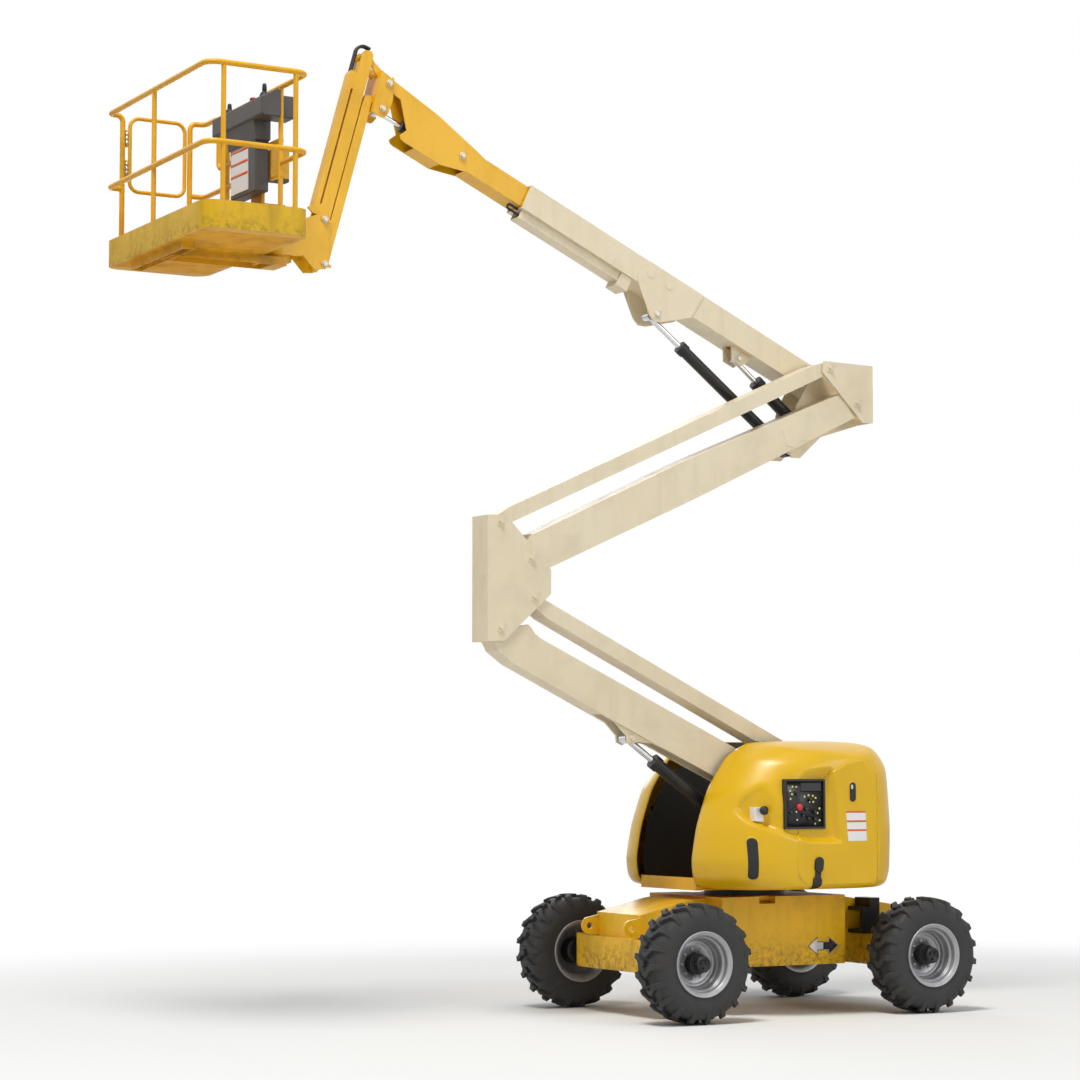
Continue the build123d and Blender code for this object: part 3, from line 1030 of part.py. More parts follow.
with BuildPart() as toe_board:
    with BuildSketch(Plane.XY.offset(TOE_BOTTOM)) as band:
        with Locations((PLATFORM_MIDDLE, 0)):
            RectangleRounded(PLATFORM_DEPTH, PLATFORM_WIDTH, CORNER)
            RectangleRounded(PLATFORM_DEPTH - 2 * TOE_WALL, PLATFORM_WIDTH - 2 * TOE_WALL,
                    CORNER - TOE_WALL, mode=Mode.SUBTRACT)
    extrude(band.sketch, amount=TOE_TOP - TOE_BOTTOM)
save(toe_board, "toe_board")

# Gate hinges: heights of the barrel ends.
HINGES = [(TOE_BOTTOM + 673.0, TOE_BOTTOM + 771.0), (TOE_BOTTOM + 889.0, TOE_BOTTOM + 988.0)]
# Rail centre lines, then the upright posts that carry them.
RAIL_REAR = PLATFORM_REAR + RAIL_RADIUS
RAIL_FRONT = PLATFORM_FRONT - RAIL_RADIUS
RAIL_LEFT = HALF_WIDTH - RAIL_RADIUS
RAIL_RIGHT = -HALF_WIDTH + RAIL_RADIUS + 5.0
RAIL_TOP = TOP_RAIL_TOP - RAIL_RADIUS
RAIL_MID = MID_RAIL_TOP - RAIL_RADIUS
GATE_X = (PLATFORM_REAR + 132.0, PLATFORM_REAR + 644.0)
HINGE_LINE = GATE_X[1] - 31.0
POST_FOOT = TOE_BOTTOM + 30.0
POSTS = [
    (PLATFORM_FRONT - 135.0, HALF_WIDTH - TOE_WALL - POST_RADIUS),
    (PLATFORM_REAR + 109.0, HALF_WIDTH - TOE_WALL - POST_RADIUS),
    (PLATFORM_FRONT - TOE_WALL - POST_RADIUS, -45.0),
    (PLATFORM_REAR + TOE_WALL + POST_RADIUS, 456.0),
    (PLATFORM_REAR + TOE_WALL + POST_RADIUS, -456.0),
]
with BuildPart() as platform_rails:
    tube([
        (GATE_X[1], RAIL_RIGHT, POST_FOOT), (GATE_X[1], RAIL_RIGHT, RAIL_TOP), (RAIL_FRONT, RAIL_RIGHT,
                RAIL_TOP),
        (RAIL_FRONT, RAIL_LEFT, RAIL_TOP), (RAIL_REAR, RAIL_LEFT, RAIL_TOP), (RAIL_REAR, 205.0, RAIL_TOP),
        (RAIL_REAR, 205.0, LOOP_RAIL), (RAIL_REAR, 456.0, LOOP_RAIL)],
        RAIL_RADIUS, [45.0, 45.0, 90.0, 90.0, 50.0, 45.0])
    tube([
        (GATE_X[0], RAIL_RIGHT, POST_FOOT), (GATE_X[0], RAIL_RIGHT, RAIL_TOP), (RAIL_REAR, RAIL_RIGHT,
                RAIL_TOP),
        (RAIL_REAR, -620.0, RAIL_TOP), (RAIL_REAR, -620.0, LOOP_RAIL), (RAIL_REAR, 200.0, LOOP_RAIL)],
        RAIL_RADIUS, [45.0, 60.0, 50.0, 45.0])
    tube([
        (GATE_X[1], RAIL_RIGHT, RAIL_MID), (RAIL_FRONT, RAIL_RIGHT, RAIL_MID), (RAIL_FRONT, RAIL_LEFT,
                RAIL_MID),
        (RAIL_REAR, RAIL_LEFT, RAIL_MID), (RAIL_REAR, 480.0, RAIL_MID)], RAIL_RADIUS, [45.0, 90.0, 90.0])
    tube([
        (GATE_X[0], RAIL_RIGHT, RAIL_MID), (RAIL_REAR, RAIL_RIGHT, RAIL_MID), (RAIL_REAR, 185.0,
                RAIL_MID)], RAIL_RADIUS, [45.0])
    with BuildSketch(Plane.XZ.offset(-205.0)) as bar:
        with Locations((RAIL_REAR, RAIL_TOP)):
            Circle(12.0)
    extrude(bar.sketch, amount=825.0)
    for point in POSTS:
        upright_round(point, POST_RADIUS, POST_FOOT, RAIL_TOP)
    box((RAIL_REAR - 12.0, RAIL_REAR + 12.0), (300.0, 480.0), (RAIL_MID - 91.0, RAIL_MID - 71.0))
    box((RAIL_REAR - 12.0, RAIL_REAR + 12.0), (300.0, 320.0), (RAIL_MID - 91.0, LOOP_RAIL))
    for z_low, z_high in HINGES:
        box((HINGE_LINE - 6.0, GATE_X[1] - 8.0), (RAIL_RIGHT - 3.0, RAIL_RIGHT + 3.0), (z_low - 12.0, z_low))
        box((HINGE_LINE - 6.0, GATE_X[1] - 8.0), (RAIL_RIGHT - 3.0, RAIL_RIGHT + 3.0),
                (z_high, z_high + 12.0))
        upright_round((HINGE_LINE, RAIL_RIGHT), 5.0, z_low - 12.0, z_high + 12.0)
save(platform_rails, "platform_rails")

with BuildPart() as gate:
    x_low, x_high = GATE_X[0] + 40.0, GATE_X[1] - 55.0
    z_low, z_high = MID_RAIL_TOP - 29.0, TOP_RAIL_TOP - 28.0
    middle = (x_low + x_high) / 2
    tube([
        (middle, RAIL_RIGHT, z_low), (x_high, RAIL_RIGHT, z_low), (x_high, RAIL_RIGHT, z_high), (x_low,
                RAIL_RIGHT, z_high),
        (x_low, RAIL_RIGHT, z_low), (middle, RAIL_RIGHT, z_low)], 14.0, [70.0, 70.0, 70.0, 70.0])
    for low, high in HINGES:
        upright_round((HINGE_LINE, RAIL_RIGHT), 10.0, low + RUNNING_GAP, high - RUNNING_GAP)
        box((x_high, HINGE_LINE - 6.0), (RAIL_RIGHT - 3.0, RAIL_RIGHT + 3.0),
                (low + RUNNING_GAP, high - RUNNING_GAP))
        upright_round((HINGE_LINE, RAIL_RIGHT), 5.0 + PIN_FIT, low - 1.0, high + 1.0, mode=Mode.SUBTRACT)
save(gate, "gate")

CONSOLE_X = (PLATFORM_REAR + TOE_WALL + 2 * POST_RADIUS + RUNNING_GAP, RAIL_REAR + 165.0)
CONSOLE_Z = TOE_BOTTOM + 882.0
# Levers and stop button: place ahead of the platform's rear edge, station across, two heights, radius.
LEVERS = [(129.0, 418.0, 130.0, 236.0, 11.0), (129.0, -178.0, 130.0, 199.0, 15.0),
        (94.0, 150.0, 150.0, 188.0, 24.0)]
with BuildPart() as console:
    side_cut([
        (CONSOLE_X[0], CONSOLE_Z), (CONSOLE_X[0], CONSOLE_Z + 192), (CONSOLE_X[0] + 40, CONSOLE_Z + 188),
        (CONSOLE_X[1], CONSOLE_Z + 132), (CONSOLE_X[1], CONSOLE_Z + 10), (CONSOLE_X[1] - 20,
                CONSOLE_Z)], -360.0, 500.0)
    side_cut([
        (CONSOLE_X[0], CONSOLE_Z + 1), (CONSOLE_X[0], CONSOLE_Z - 130), (CONSOLE_X[1] - 40, CONSOLE_Z - 130),
        (CONSOLE_X[1] - 15, CONSOLE_Z + 1)], -160.0, 330.0)
    side_cut([
        (CONSOLE_X[0], CONSOLE_Z - 129), (CONSOLE_X[0], TOE_BOTTOM + 402), (CONSOLE_X[0] + 100, TOE_BOTTOM + 402),
        (CONSOLE_X[1] - 40, CONSOLE_Z - 129)], -130.0, 300.0)
    for along, y, low, high, radius in LEVERS:
        upright_round((PLATFORM_REAR + along, y), radius, CONSOLE_Z + low, CONSOLE_Z + high)
save(console, "console")
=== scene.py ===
# %% [markdown]
# # An electric articulating boom lift, dressed in Blender
# The solid model already has every piece in its place, in metres.
# This lesson loads it as a fixed frame, then gives each piece its finish
# and builds finer tyres, rims, hoods and controls over the plain solids.

# %% Load the frame
import math
import bmesh
import bpy
import numpy as np
from mathutils import Matrix, Vector
from mathutils.bvhtree import BVHTree


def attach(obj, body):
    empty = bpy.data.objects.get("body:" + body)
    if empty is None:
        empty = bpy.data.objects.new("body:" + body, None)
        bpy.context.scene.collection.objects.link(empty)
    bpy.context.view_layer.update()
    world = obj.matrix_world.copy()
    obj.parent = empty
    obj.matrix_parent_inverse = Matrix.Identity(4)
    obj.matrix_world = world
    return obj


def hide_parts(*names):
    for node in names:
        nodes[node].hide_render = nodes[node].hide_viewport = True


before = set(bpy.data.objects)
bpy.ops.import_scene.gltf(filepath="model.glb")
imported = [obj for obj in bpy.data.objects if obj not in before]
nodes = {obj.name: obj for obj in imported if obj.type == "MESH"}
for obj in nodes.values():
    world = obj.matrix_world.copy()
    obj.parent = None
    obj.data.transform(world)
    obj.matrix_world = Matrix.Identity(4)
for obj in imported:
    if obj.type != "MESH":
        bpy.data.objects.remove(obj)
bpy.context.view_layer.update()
WHEEL_NAMES = ("front_left", "front_right", "rear_left", "rear_right")

# %% [markdown]
# ## Camera
# The picture was taken from the machine's left and front, from about head
# height, with a long lens. Its place was solved from the wheels and the
# platform, so the camera is written down as numbers and not aimed by eye.

# %% Set the camera
CAMERA_PLACE = Vector((11.803, 17.828, 1.788))
CAMERA_AZIMUTH = math.radians(150.581)
CAMERA_PITCH = math.radians(4.597)
backward = Vector((
    math.sin(CAMERA_AZIMUTH) * math.cos(CAMERA_PITCH),
    -math.cos(CAMERA_AZIMUTH) * math.cos(CAMERA_PITCH),
    -math.sin(CAMERA_PITCH)))
camera_data = bpy.data.cameras.new("camera")
camera_data.sensor_width = 36.0
camera_data.lens = 94.607
camera_data.clip_end = 400.0
camera = bpy.data.objects.new("camera", camera_data)
camera.rotation_mode = "QUATERNION"
camera.location = CAMERA_PLACE
camera.rotation_quaternion = backward.to_track_quat("Z", "Y")
bpy.context.scene.collection.objects.link(camera)
bpy.context.scene.camera = camera
print("camera", tuple(round(v, 3) for v in camera.location))

# %% [markdown]
# ## Light and floor
# A studio shot has broad soft light from above and a floor that runs into a
# white wall. The world gives the soft light and three large lamps give it a
# mild direction. The floor keeps the shadow near the machine and fades to
# white.

# %% Light the scene


def link_all(tree, pairs):
    """Joins each (output, input) pair of sockets in a node tree."""
    for source, target in pairs:
        tree.links.new(source, target)


scene = bpy.context.scene
scene.view_settings.view_transform = "Standard"
world = bpy.data.worlds.new("studio")
scene.world = world
world.use_nodes = True
world_tree = world.node_tree
world_tree.nodes.clear()
soft_light = world_tree.nodes.new("ShaderNodeBackground")
soft_light.inputs["Color"].default_value = (0.93, 0.96, 1.0, 1.0)
soft_light.inputs["Strength"].default_value = 0.38
white_wall = world_tree.nodes.new("ShaderNodeBackground")
white_wall.inputs["Color"].default_value = (1.0, 1.0, 1.0, 1.0)
white_wall.inputs["Strength"].default_value = 1.0
ray_kind = world_tree.nodes.new("ShaderNodeLightPath")
seen_directly = world_tree.nodes.new("ShaderNodeMath")
seen_directly.operation = "MAXIMUM"
seen_or_through = world_tree.nodes.new("ShaderNodeMath")
seen_or_through.operation = "MAXIMUM"
wall_mix = world_tree.nodes.new("ShaderNodeMixShader")
world_out = world_tree.nodes.new("ShaderNodeOutputWorld")
link_all(world_tree, (
    (ray_kind.outputs["Is Camera Ray"], seen_directly.inputs[0]),
    (ray_kind.outputs["Is Glossy Ray"], seen_directly.inputs[1]),
    (seen_directly.outputs[0], seen_or_through.inputs[0]),
    (ray_kind.outputs["Is Transmission Ray"], seen_or_through.inputs[1]),
    (seen_or_through.outputs[0], wall_mix.inputs[0]),
    (soft_light.outputs[0], wall_mix.inputs[1]),
    (white_wall.outputs[0], wall_mix.inputs[2]),
    (wall_mix.outputs[0], world_out.inputs[0])))


def area_lamp(name, place, target, size, power, colour=(1.0, 1.0, 1.0)):
    """A round soft lamp that looks from its place to a target."""
    data = bpy.data.lights.new(name, "AREA")
    data.shape = "DISK"
    data.size = size
    data.energy = power
    data.color = colour
    lamp = bpy.data.objects.new(name, data)
    lamp.location = place
    lamp.rotation_mode = "QUATERNION"
    lamp.rotation_quaternion = (Vector(place) - Vector(target)).to_track_quat("Z", "Y")
    bpy.context.scene.collection.objects.link(lamp)


area_lamp("key_lamp", (9.0, 6.5, 23.0), (1.0, 0.0, 3.0), 7.0, 3700.0, (1.0, 0.985, 0.95))
area_lamp("side_lamp", (-6.0, 15.0, 8.0), (0.0, 0.0, 2.0), 8.0, 490.0, (0.95, 0.97, 1.0))
area_lamp("back_lamp", (-4.0, -16.0, 8.0), (0.0, 0.0, 2.0), 8.0, 500.0)

# %% Lay the floor
REACH = 120.0
FADE_FROM, FADE_TO = 4.5, 9.5
floor_mesh = bpy.data.meshes.new("studio_floor")
floor_corners = [(-REACH, -REACH, 0), (REACH, -REACH, 0), (REACH, REACH, 0), (-REACH, REACH, 0)]
floor_mesh.from_pydata(floor_corners, [], [(0, 1, 2, 3)])
floor = bpy.data.objects.new("studio_floor", floor_mesh)
scene.collection.objects.link(floor)
floor_finish = bpy.data.materials.new("studio_floor")
floor_finish.use_nodes = True
tree = floor_finish.node_tree
tree.nodes.clear()
place = tree.nodes.new("ShaderNodeTexCoord")
length = tree.nodes.new("ShaderNodeVectorMath")
length.operation = "LENGTH"
fade = tree.nodes.new("ShaderNodeMapRange")
fade.interpolation_type = "SMOOTHSTEP"
fade.inputs["From Min"].default_value = FADE_FROM
fade.inputs["From Max"].default_value = FADE_TO
matt = tree.nodes.new("ShaderNodeBsdfDiffuse")
matt.inputs["Color"].default_value = (0.88, 0.88, 0.87, 1.0)
glow = tree.nodes.new("ShaderNodeEmission")
glow.inputs["Color"].default_value = (1.0, 1.0, 1.0, 1.0)
glow.inputs["Strength"].default_value = 1.0
ray = tree.nodes.new("ShaderNodeLightPath")
direct = tree.nodes.new("ShaderNodeMath")
direct.operation = "MULTIPLY"
blend = tree.nodes.new("ShaderNodeMixShader")
out = tree.nodes.new("ShaderNodeOutputMaterial")
link_all(tree, (
    (place.outputs["Object"], length.inputs[0]),
    (length.outputs["Value"], fade.inputs["Value"]),
    (fade.outputs["Result"], direct.inputs[0]),
    (ray.outputs["Is Camera Ray"], direct.inputs[1]),
    (direct.outputs[0], blend.inputs[0]),
    (matt.outputs[0], blend.inputs[1]),
    (glow.outputs[0], blend.inputs[2]),
    (blend.outputs[0], out.inputs[0])))
floor_mesh.materials.append(floor_finish)
print("floor fades between", FADE_FROM, "and", FADE_TO, "m")

# %% [markdown]
# ## Finishes
# Painted steel on a working machine is never one flat colour. Each finish
# below starts from one paint and adds three things that read Object
# coordinates: a slow change of tone, dirt that gathers low down and in
# streaks, and small chips. Roughness and bump follow the same patterns.

# %% Small helpers for shader trees


def linear(red, green, blue):
    """A screen colour from 0 to 255 as the linear values that shaders use."""
    values = []
    for part in (red, green, blue):
        s = part / 255.0
        values.append(s / 12.92 if s <= 0.04045 else ((s + 0.055) / 1.055) ** 2.4)
    return (*values, 1.0)


def add_noise(tree, where, scale, detail, stretch=(1.0, 1.0, 1.0), rough=0.55):
    """A noise pattern on the given coordinates, stretched along its axes."""
    mapping = tree.nodes.new("ShaderNodeMapping")
    mapping.inputs["Scale"].default_value = stretch
    pattern = tree.nodes.new("ShaderNodeTexNoise")
    pattern.inputs["Scale"].default_value = scale
    pattern.inputs["Detail"].default_value = detail
    pattern.inputs["Roughness"].default_value = rough
    tree.links.new(where, mapping.inputs["Vector"])
    tree.links.new(mapping.outputs["Vector"], pattern.inputs["Vector"])
    return pattern.outputs["Fac"]


def add_range(tree, value, low, high, to_low=0.0, to_high=1.0):
    """Stretches a value between two limits."""
    step = tree.nodes.new("ShaderNodeMapRange")
    step.inputs["From Min"].default_value = low
    step.inputs["From Max"].default_value = high
    step.inputs["To Min"].default_value = to_low
    step.inputs["To Max"].default_value = to_high
    tree.links.new(value, step.inputs["Value"])
    return step.outputs["Result"]


def add_math(tree, kind, first, second):
    """Joins two values, either of which may be a plain number."""
    step = tree.nodes.new("ShaderNodeMath")
    step.operation = kind
    for socket, value in ((step.inputs[0], first), (step.inputs[1], second)):
        if isinstance(value, (int, float)):
            socket.default_value = value
        else:
            tree.links.new(value, socket)
    return step.outputs[0]


def add_mix(tree, share, first, second):
    """Mixes two colours, either of which may be a plain colour."""
    step = tree.nodes.new("ShaderNodeMix")
    step.data_type = "RGBA"
    colour_a, colour_b = step.inputs[6], step.inputs[7]
    for socket, value in ((colour_a, first), (colour_b, second)):
        if isinstance(value, tuple):
            socket.default_value = value
        else:
            tree.links.new(value, socket)
    if isinstance(share, (int, float)):
        step.inputs[0].default_value = share
    else:
        tree.links.new(share, step.inputs[0])
    return step.outputs[2]


def new_finish(name):
    """A material with one principled shader and its Object coordinates."""
    finish = bpy.data.materials.new(name)
    finish.use_nodes = True
    tree = finish.node_tree
    tree.nodes.clear()
    shader = tree.nodes.new("ShaderNodeBsdfPrincipled")
    out = tree.nodes.new("ShaderNodeOutputMaterial")
    tree.links.new(shader.outputs[0], out.inputs[0])
    where = tree.nodes.new("ShaderNodeTexCoord").outputs["Object"]
    return finish, tree, shader, where


def add_bump(tree, shader, height, distance, strength=1.0):
    """Turns a height pattern into fine relief, given its depth in metres."""
    relief = tree.nodes.new("ShaderNodeBump")
    relief.inputs["Distance"].default_value = distance
    relief.inputs["Strength"].default_value = strength
    tree.links.new(height, relief.inputs["Height"])
    tree.links.new(relief.outputs["Normal"], shader.inputs["Normal"])


print("helpers ready")

# %% Paint
BARE_CHIP = linear(92, 76, 52)


def paint(name, colour, deep, dirt_colour, dirt=0.3, gloss=0.34, streaks=0.3, chips=0.3, low=None):
    """Sprayed paint with slow tone changes, dirty streaks, chips and orange peel.

    low holds two heights between which floor dirt thins out, and its strength.
    """
    finish, tree, shader, where = new_finish(name)
    tone = add_range(tree, add_noise(tree, where, 1.1, 3.0), 0.35, 0.7)
    base = add_mix(tree, add_math(tree, "MULTIPLY", tone, 0.55), colour, deep)
    streak = add_range(tree, add_noise(tree, where, 9.0, 5.0, (1.0, 1.0, 0.12)), 0.5, 0.72, 0.0, streaks)
    cloud = add_range(tree, add_noise(tree, where, 3.2, 6.0, rough=0.65), 0.48, 0.7, 0.0, dirt)
    grime = add_math(tree, "MAXIMUM", streak, cloud)
    if low is not None:
        split = tree.nodes.new("ShaderNodeSeparateXYZ")
        tree.links.new(where, split.inputs[0])
        height = add_range(tree, split.outputs["Z"], low[0], low[1], 1.0, 0.0)
        speck = add_range(tree, add_noise(tree, where, 24.0, 7.0, rough=0.7), 0.42, 0.62)
        low_dirt = add_math(tree, "MULTIPLY", add_math(tree, "MULTIPLY", height, speck), low[2])
        grime = add_math(tree, "MAXIMUM", grime, low_dirt)
    base = add_mix(tree, grime, base, dirt_colour)
    chip = add_range(tree, add_noise(tree, where, 55.0, 8.0, rough=0.8), 0.66, 0.69, 0.0, chips)
    base = add_mix(tree, chip, base, BARE_CHIP)
    tree.links.new(base, shader.inputs["Base Color"])
    tree.links.new(add_range(tree, grime, 0.0, 0.5, gloss, gloss + 0.25), shader.inputs["Roughness"])
    shader.inputs["Specular IOR Level"].default_value = 0.35
    shader.inputs["Coat Weight"].default_value = 0.1
    shader.inputs["Coat Roughness"].default_value = 0.2
    add_bump(tree, shader, add_noise(tree, where, 160.0, 2.0), 0.0004, 0.35)
    return finish


yellow_paint = paint(
    "yellow_paint", linear(236, 180, 12), linear(222, 164, 10), linear(150, 120, 40), dirt=0.22,
    streaks=0.2, chips=0.35)
frame_yellow = paint(
    "frame_yellow", linear(240, 188, 28), linear(222, 168, 24), linear(112, 88, 40), dirt=0.3, streaks=0.25,
    chips=0.6, low=(0.34, 0.62, 0.85))
toe_yellow = paint(
    "toe_yellow", linear(226, 180, 14), linear(202, 158, 16), linear(124, 98, 42), dirt=0.3, streaks=0.4,
    chips=0.3, gloss=0.5, low=(5.30, 5.45, 0.6))
deck_yellow = paint(
    "deck_yellow", linear(222, 164, 16), linear(192, 134, 14), linear(126, 88, 30), dirt=0.6, streaks=0.3,
    chips=0.5, gloss=0.5)
rail_yellow = paint(
    "rail_yellow", linear(234, 174, 16), linear(220, 156, 14), linear(160, 112, 32), dirt=0.2, streaks=0.2,
    chips=0.35)
cream_paint = paint(
    "cream_paint", linear(228, 214, 184), linear(220, 202, 168), linear(150, 132, 98), dirt=0.16,
    streaks=0.14, chips=0.12, gloss=0.4)
black_paint = paint(
    "black_paint", linear(30, 30, 32), linear(20, 20, 22), linear(70, 66, 60), dirt=0.25, streaks=0.2,
    chips=0.1, gloss=0.38)
hub_black = paint(
    "hub_black", linear(24, 24, 26), linear(16, 16, 18), linear(66, 62, 56), dirt=0.3, streaks=0.1,
    chips=0.2, gloss=0.42)
print("paints", len([m for m in bpy.data.materials if "yellow" in m.name]))

# %% Moulded plastic, rubber and metal


def moulded(name, colour, deep, gloss=0.3, grain=0.0002, scuffs=0.1, scuff_colour=(0.25, 0.2, 0.1, 1.0)):
    """Moulded plastic: even colour, faint tone change, fine grain and scuffs."""
    finish, tree, shader, where = new_finish(name)
    tone = add_range(tree, add_noise(tree, where, 1.6, 2.0), 0.35, 0.7, 0.0, 0.6)
    base = add_mix(tree, tone, colour, deep)
    scuff = add_range(
        tree, add_noise(tree, where, 7.0, 8.0, (1.0, 1.0, 0.4), 0.72), 0.58, 0.74, 0.0, scuffs)
    speck = add_range(tree, add_noise(tree, where, 70.0, 5.0, rough=0.75), 0.68, 0.72, 0.0, scuffs * 2.0)
    base = add_mix(tree, add_math(tree, "MAXIMUM", scuff, speck), base, scuff_colour)
    tree.links.new(base, shader.inputs["Base Color"])
    tree.links.new(add_range(tree, scuff, 0.0, 0.3, gloss, gloss + 0.2), shader.inputs["Roughness"])
    add_bump(tree, shader, add_noise(tree, where, 420.0, 2.0), grain, 0.4)
    return finish


hood_yellow = moulded(
    "hood_yellow", linear(226, 180, 4), linear(216, 168, 4), 0.3, 0.0002, 0.12, linear(190, 140, 30))
grey_plastic = moulded(
    "grey_plastic", linear(76, 73, 70), linear(67, 64, 61), 0.5, 0.0004, 0.12, linear(70, 66, 60))
# Black plastic for the panels and knobs; on the pods' inner walls it is also painted shade for the gap between
# the pods.
black_plastic = moulded(
    "black_plastic", linear(30, 30, 31), linear(22, 22, 23), 0.42, 0.0003, 0.1, linear(70, 68, 62))
case_plastic = moulded(
    "case_plastic", linear(44, 44, 46), linear(34, 34, 36), 0.5, 0.0003, 0.2, linear(90, 86, 78))
white_label = moulded(
    "white_label", linear(236, 236, 234), linear(226, 226, 222), 0.35, 0.0001, 0.12, linear(180, 170, 150))
orange_label = moulded(
    "orange_label", linear(222, 96, 40), linear(206, 84, 36), 0.35, 0.0001, 0.08, linear(170, 110, 80))
red_cap = moulded(
    "red_cap", linear(214, 42, 44), linear(190, 32, 36), 0.28, 0.0001, 0.05, linear(120, 30, 30))
bright_button = moulded(
    "bright_button", linear(232, 222, 120), linear(214, 204, 96), 0.3, 0.0001, 0.05, linear(150, 140, 70))
# Matt black for straps, boots, grips and printed film; on the hoods it is also painted shade inside the handle
# and latch slots.
seal_black = moulded(
    "seal_black", linear(22, 22, 23), linear(16, 16, 17), 0.6, 0.0004, 0.1, linear(60, 58, 52))


def tyre_rubber_finish():
    """Dark rubber with patches of brownish dust and fine specks."""
    finish, tree, shader, where = new_finish("tyre_rubber")
    dust = add_range(tree, add_noise(tree, where, 5.0, 7.0, rough=0.7), 0.42, 0.68, 0.0, 0.55)
    fine = add_range(tree, add_noise(tree, where, 60.0, 5.0, rough=0.7), 0.4, 0.7, 0.0, 0.35)
    base = add_mix(tree, add_math(tree, "MAXIMUM", dust, fine), linear(40, 40, 42), linear(70, 67, 62))
    tree.links.new(base, shader.inputs["Base Color"])
    tree.links.new(add_range(tree, dust, 0.0, 0.5, 0.62, 0.88), shader.inputs["Roughness"])
    add_bump(tree, shader, add_noise(tree, where, 90.0, 6.0), 0.0012, 0.5)
    return finish


def metal(
        name, colour, rough, brush=(1.0, 1.0, 1.0), grime=0.25, grime_colour=(0.05, 0.045, 0.04, 1.0),
        metallic=1.0):
    """Bare or plated metal with fine brush marks and grime."""
    finish, tree, shader, where = new_finish(name)
    spot = add_range(tree, add_noise(tree, where, 14.0, 7.0, rough=0.7), 0.5, 0.72, 0.0, grime)
    tree.links.new(add_mix(tree, spot, colour, grime_colour), shader.inputs["Base Color"])
    shader.inputs["Metallic"].default_value = metallic
    marks = add_noise(tree, where, 120.0, 3.0, brush)
    tree.links.new(add_range(tree, marks, 0.3, 0.7, rough, rough + 0.14), shader.inputs["Roughness"])
    add_bump(tree, shader, marks, 0.0002, 0.3)
    return finish


tyre_rubber = tyre_rubber_finish()
rim_silver = metal(
    "rim_silver", linear(168, 168, 170), 0.36, (1.0, 1.0, 1.0), 0.35, linear(120, 116, 110), 0.55)
chrome_rod = metal("chrome_rod", linear(225, 226, 230), 0.12, (1.0, 1.0, 0.2), 0.1)
bolt_steel = metal(
    "bolt_steel", linear(206, 200, 188), 0.4, (1.0, 1.0, 1.0), 0.3, linear(130, 116, 92), 0.6)
hinge_steel = metal("hinge_steel", linear(190, 192, 196), 0.35, (1.0, 1.0, 0.3), 0.3)
hose_rubber = moulded(
    "hose_rubber", linear(24, 24, 26), linear(18, 18, 20), 0.55, 0.0005, 0.1, linear(60, 58, 54))
print("finishes", len(bpy.data.materials))

# %% [markdown]
# ## Finish for each solid
# A solid whose shape is right only needs its material. One table says which
# finish each of them takes, so that nothing is forgotten.

# %% Give the solids their finishes
FINISHED_WITH = (
    (frame_yellow, "chassis_frame"),
    (black_paint, "bearing_ring rear_post_left rear_post_right tank_box"),
    (black_paint, "tower_cylinder_barrel lift_cylinder_barrel level_cylinder_barrel slave_cylinder_barrel"),
    (hub_black, "knuckle_left knuckle_right tie_rod"),
    (hood_yellow, "counterweight hood_left hood_right"),
    # The pods' inner walls are black: painted shade for the dark gap between the pods.
    (black_plastic, "pod_wall_left pod_wall_right control_panel"),
    (case_plastic, "battery_box"),
    (
        cream_paint,
        "lower_arm lower_link front_upright middle_arm upper_link rear_upright base_boom hose_tray"),
    (chrome_rod, "tower_cylinder_rod lift_cylinder_rod level_cylinder_rod slave_cylinder_rod"),
    (hose_rubber, "tray_hose jib_hoses"),
    (yellow_paint, "turntable_frame fly_boom jib_knuckle jib_link jib_arm jib_bracket"),
    (deck_yellow, "platform_support platform_floor"),
    (toe_yellow, "toe_board"),
    (rail_yellow, "platform_rails gate"),
    (grey_plastic, "console"),
)
FINISH_OF = {name: finish for finish, names in FINISHED_WITH for name in names.split()}
for wheel in WHEEL_NAMES:
    FINISH_OF["tyre_" + wheel] = tyre_rubber
    FINISH_OF["rim_" + wheel] = rim_silver
    FINISH_OF["hub_" + wheel] = hub_black
for name, node in nodes.items():
    node.data.materials.clear()
    node.data.materials.append(FINISH_OF[name])
print("finished solids", len(nodes))

# %% [markdown]
# ## Mesh helpers
# Most finer pieces are either turned shapes, slabs cut to an outline or
# tubes, so three small makers cover them. Each returns a plain mesh object
# at the origin with its place in its points.

# %% Make meshes


def mesh_piece(name, points, faces, finish, smooth=True):
    """A mesh object at the origin from points and faces."""
    mesh = bpy.data.meshes.new(name)
    mesh.from_pydata([tuple(p) for p in points], [], faces)
    mesh.update()
    for face in mesh.polygons:
        face.use_smooth = smooth
    mesh.materials.append(finish)
    piece = bpy.data.objects.new(name, mesh)
    bpy.context.scene.collection.objects.link(piece)
    return piece


def outward(piece, merge=0.00005):
    """Merges doubled points and turns all faces outwards."""
    shape = bmesh.new()
    shape.from_mesh(piece.data)
    bmesh.ops.remove_doubles(shape, verts=shape.verts, dist=merge)
    bmesh.ops.recalc_face_normals(shape, faces=shape.faces)
    shape.to_mesh(piece.data)
    shape.free()
    return piece


def ring_faces(rows, count):
    """Four-sided faces between neighbouring rows, each of which is a closed ring of points."""
    faces = []
    for row in range(rows - 1):
        here, above = row * count, (row + 1) * count
        for i in range(count):
            j = (i + 1) % count
            faces.append((here + i, here + j, above + j, above + i))
    return faces


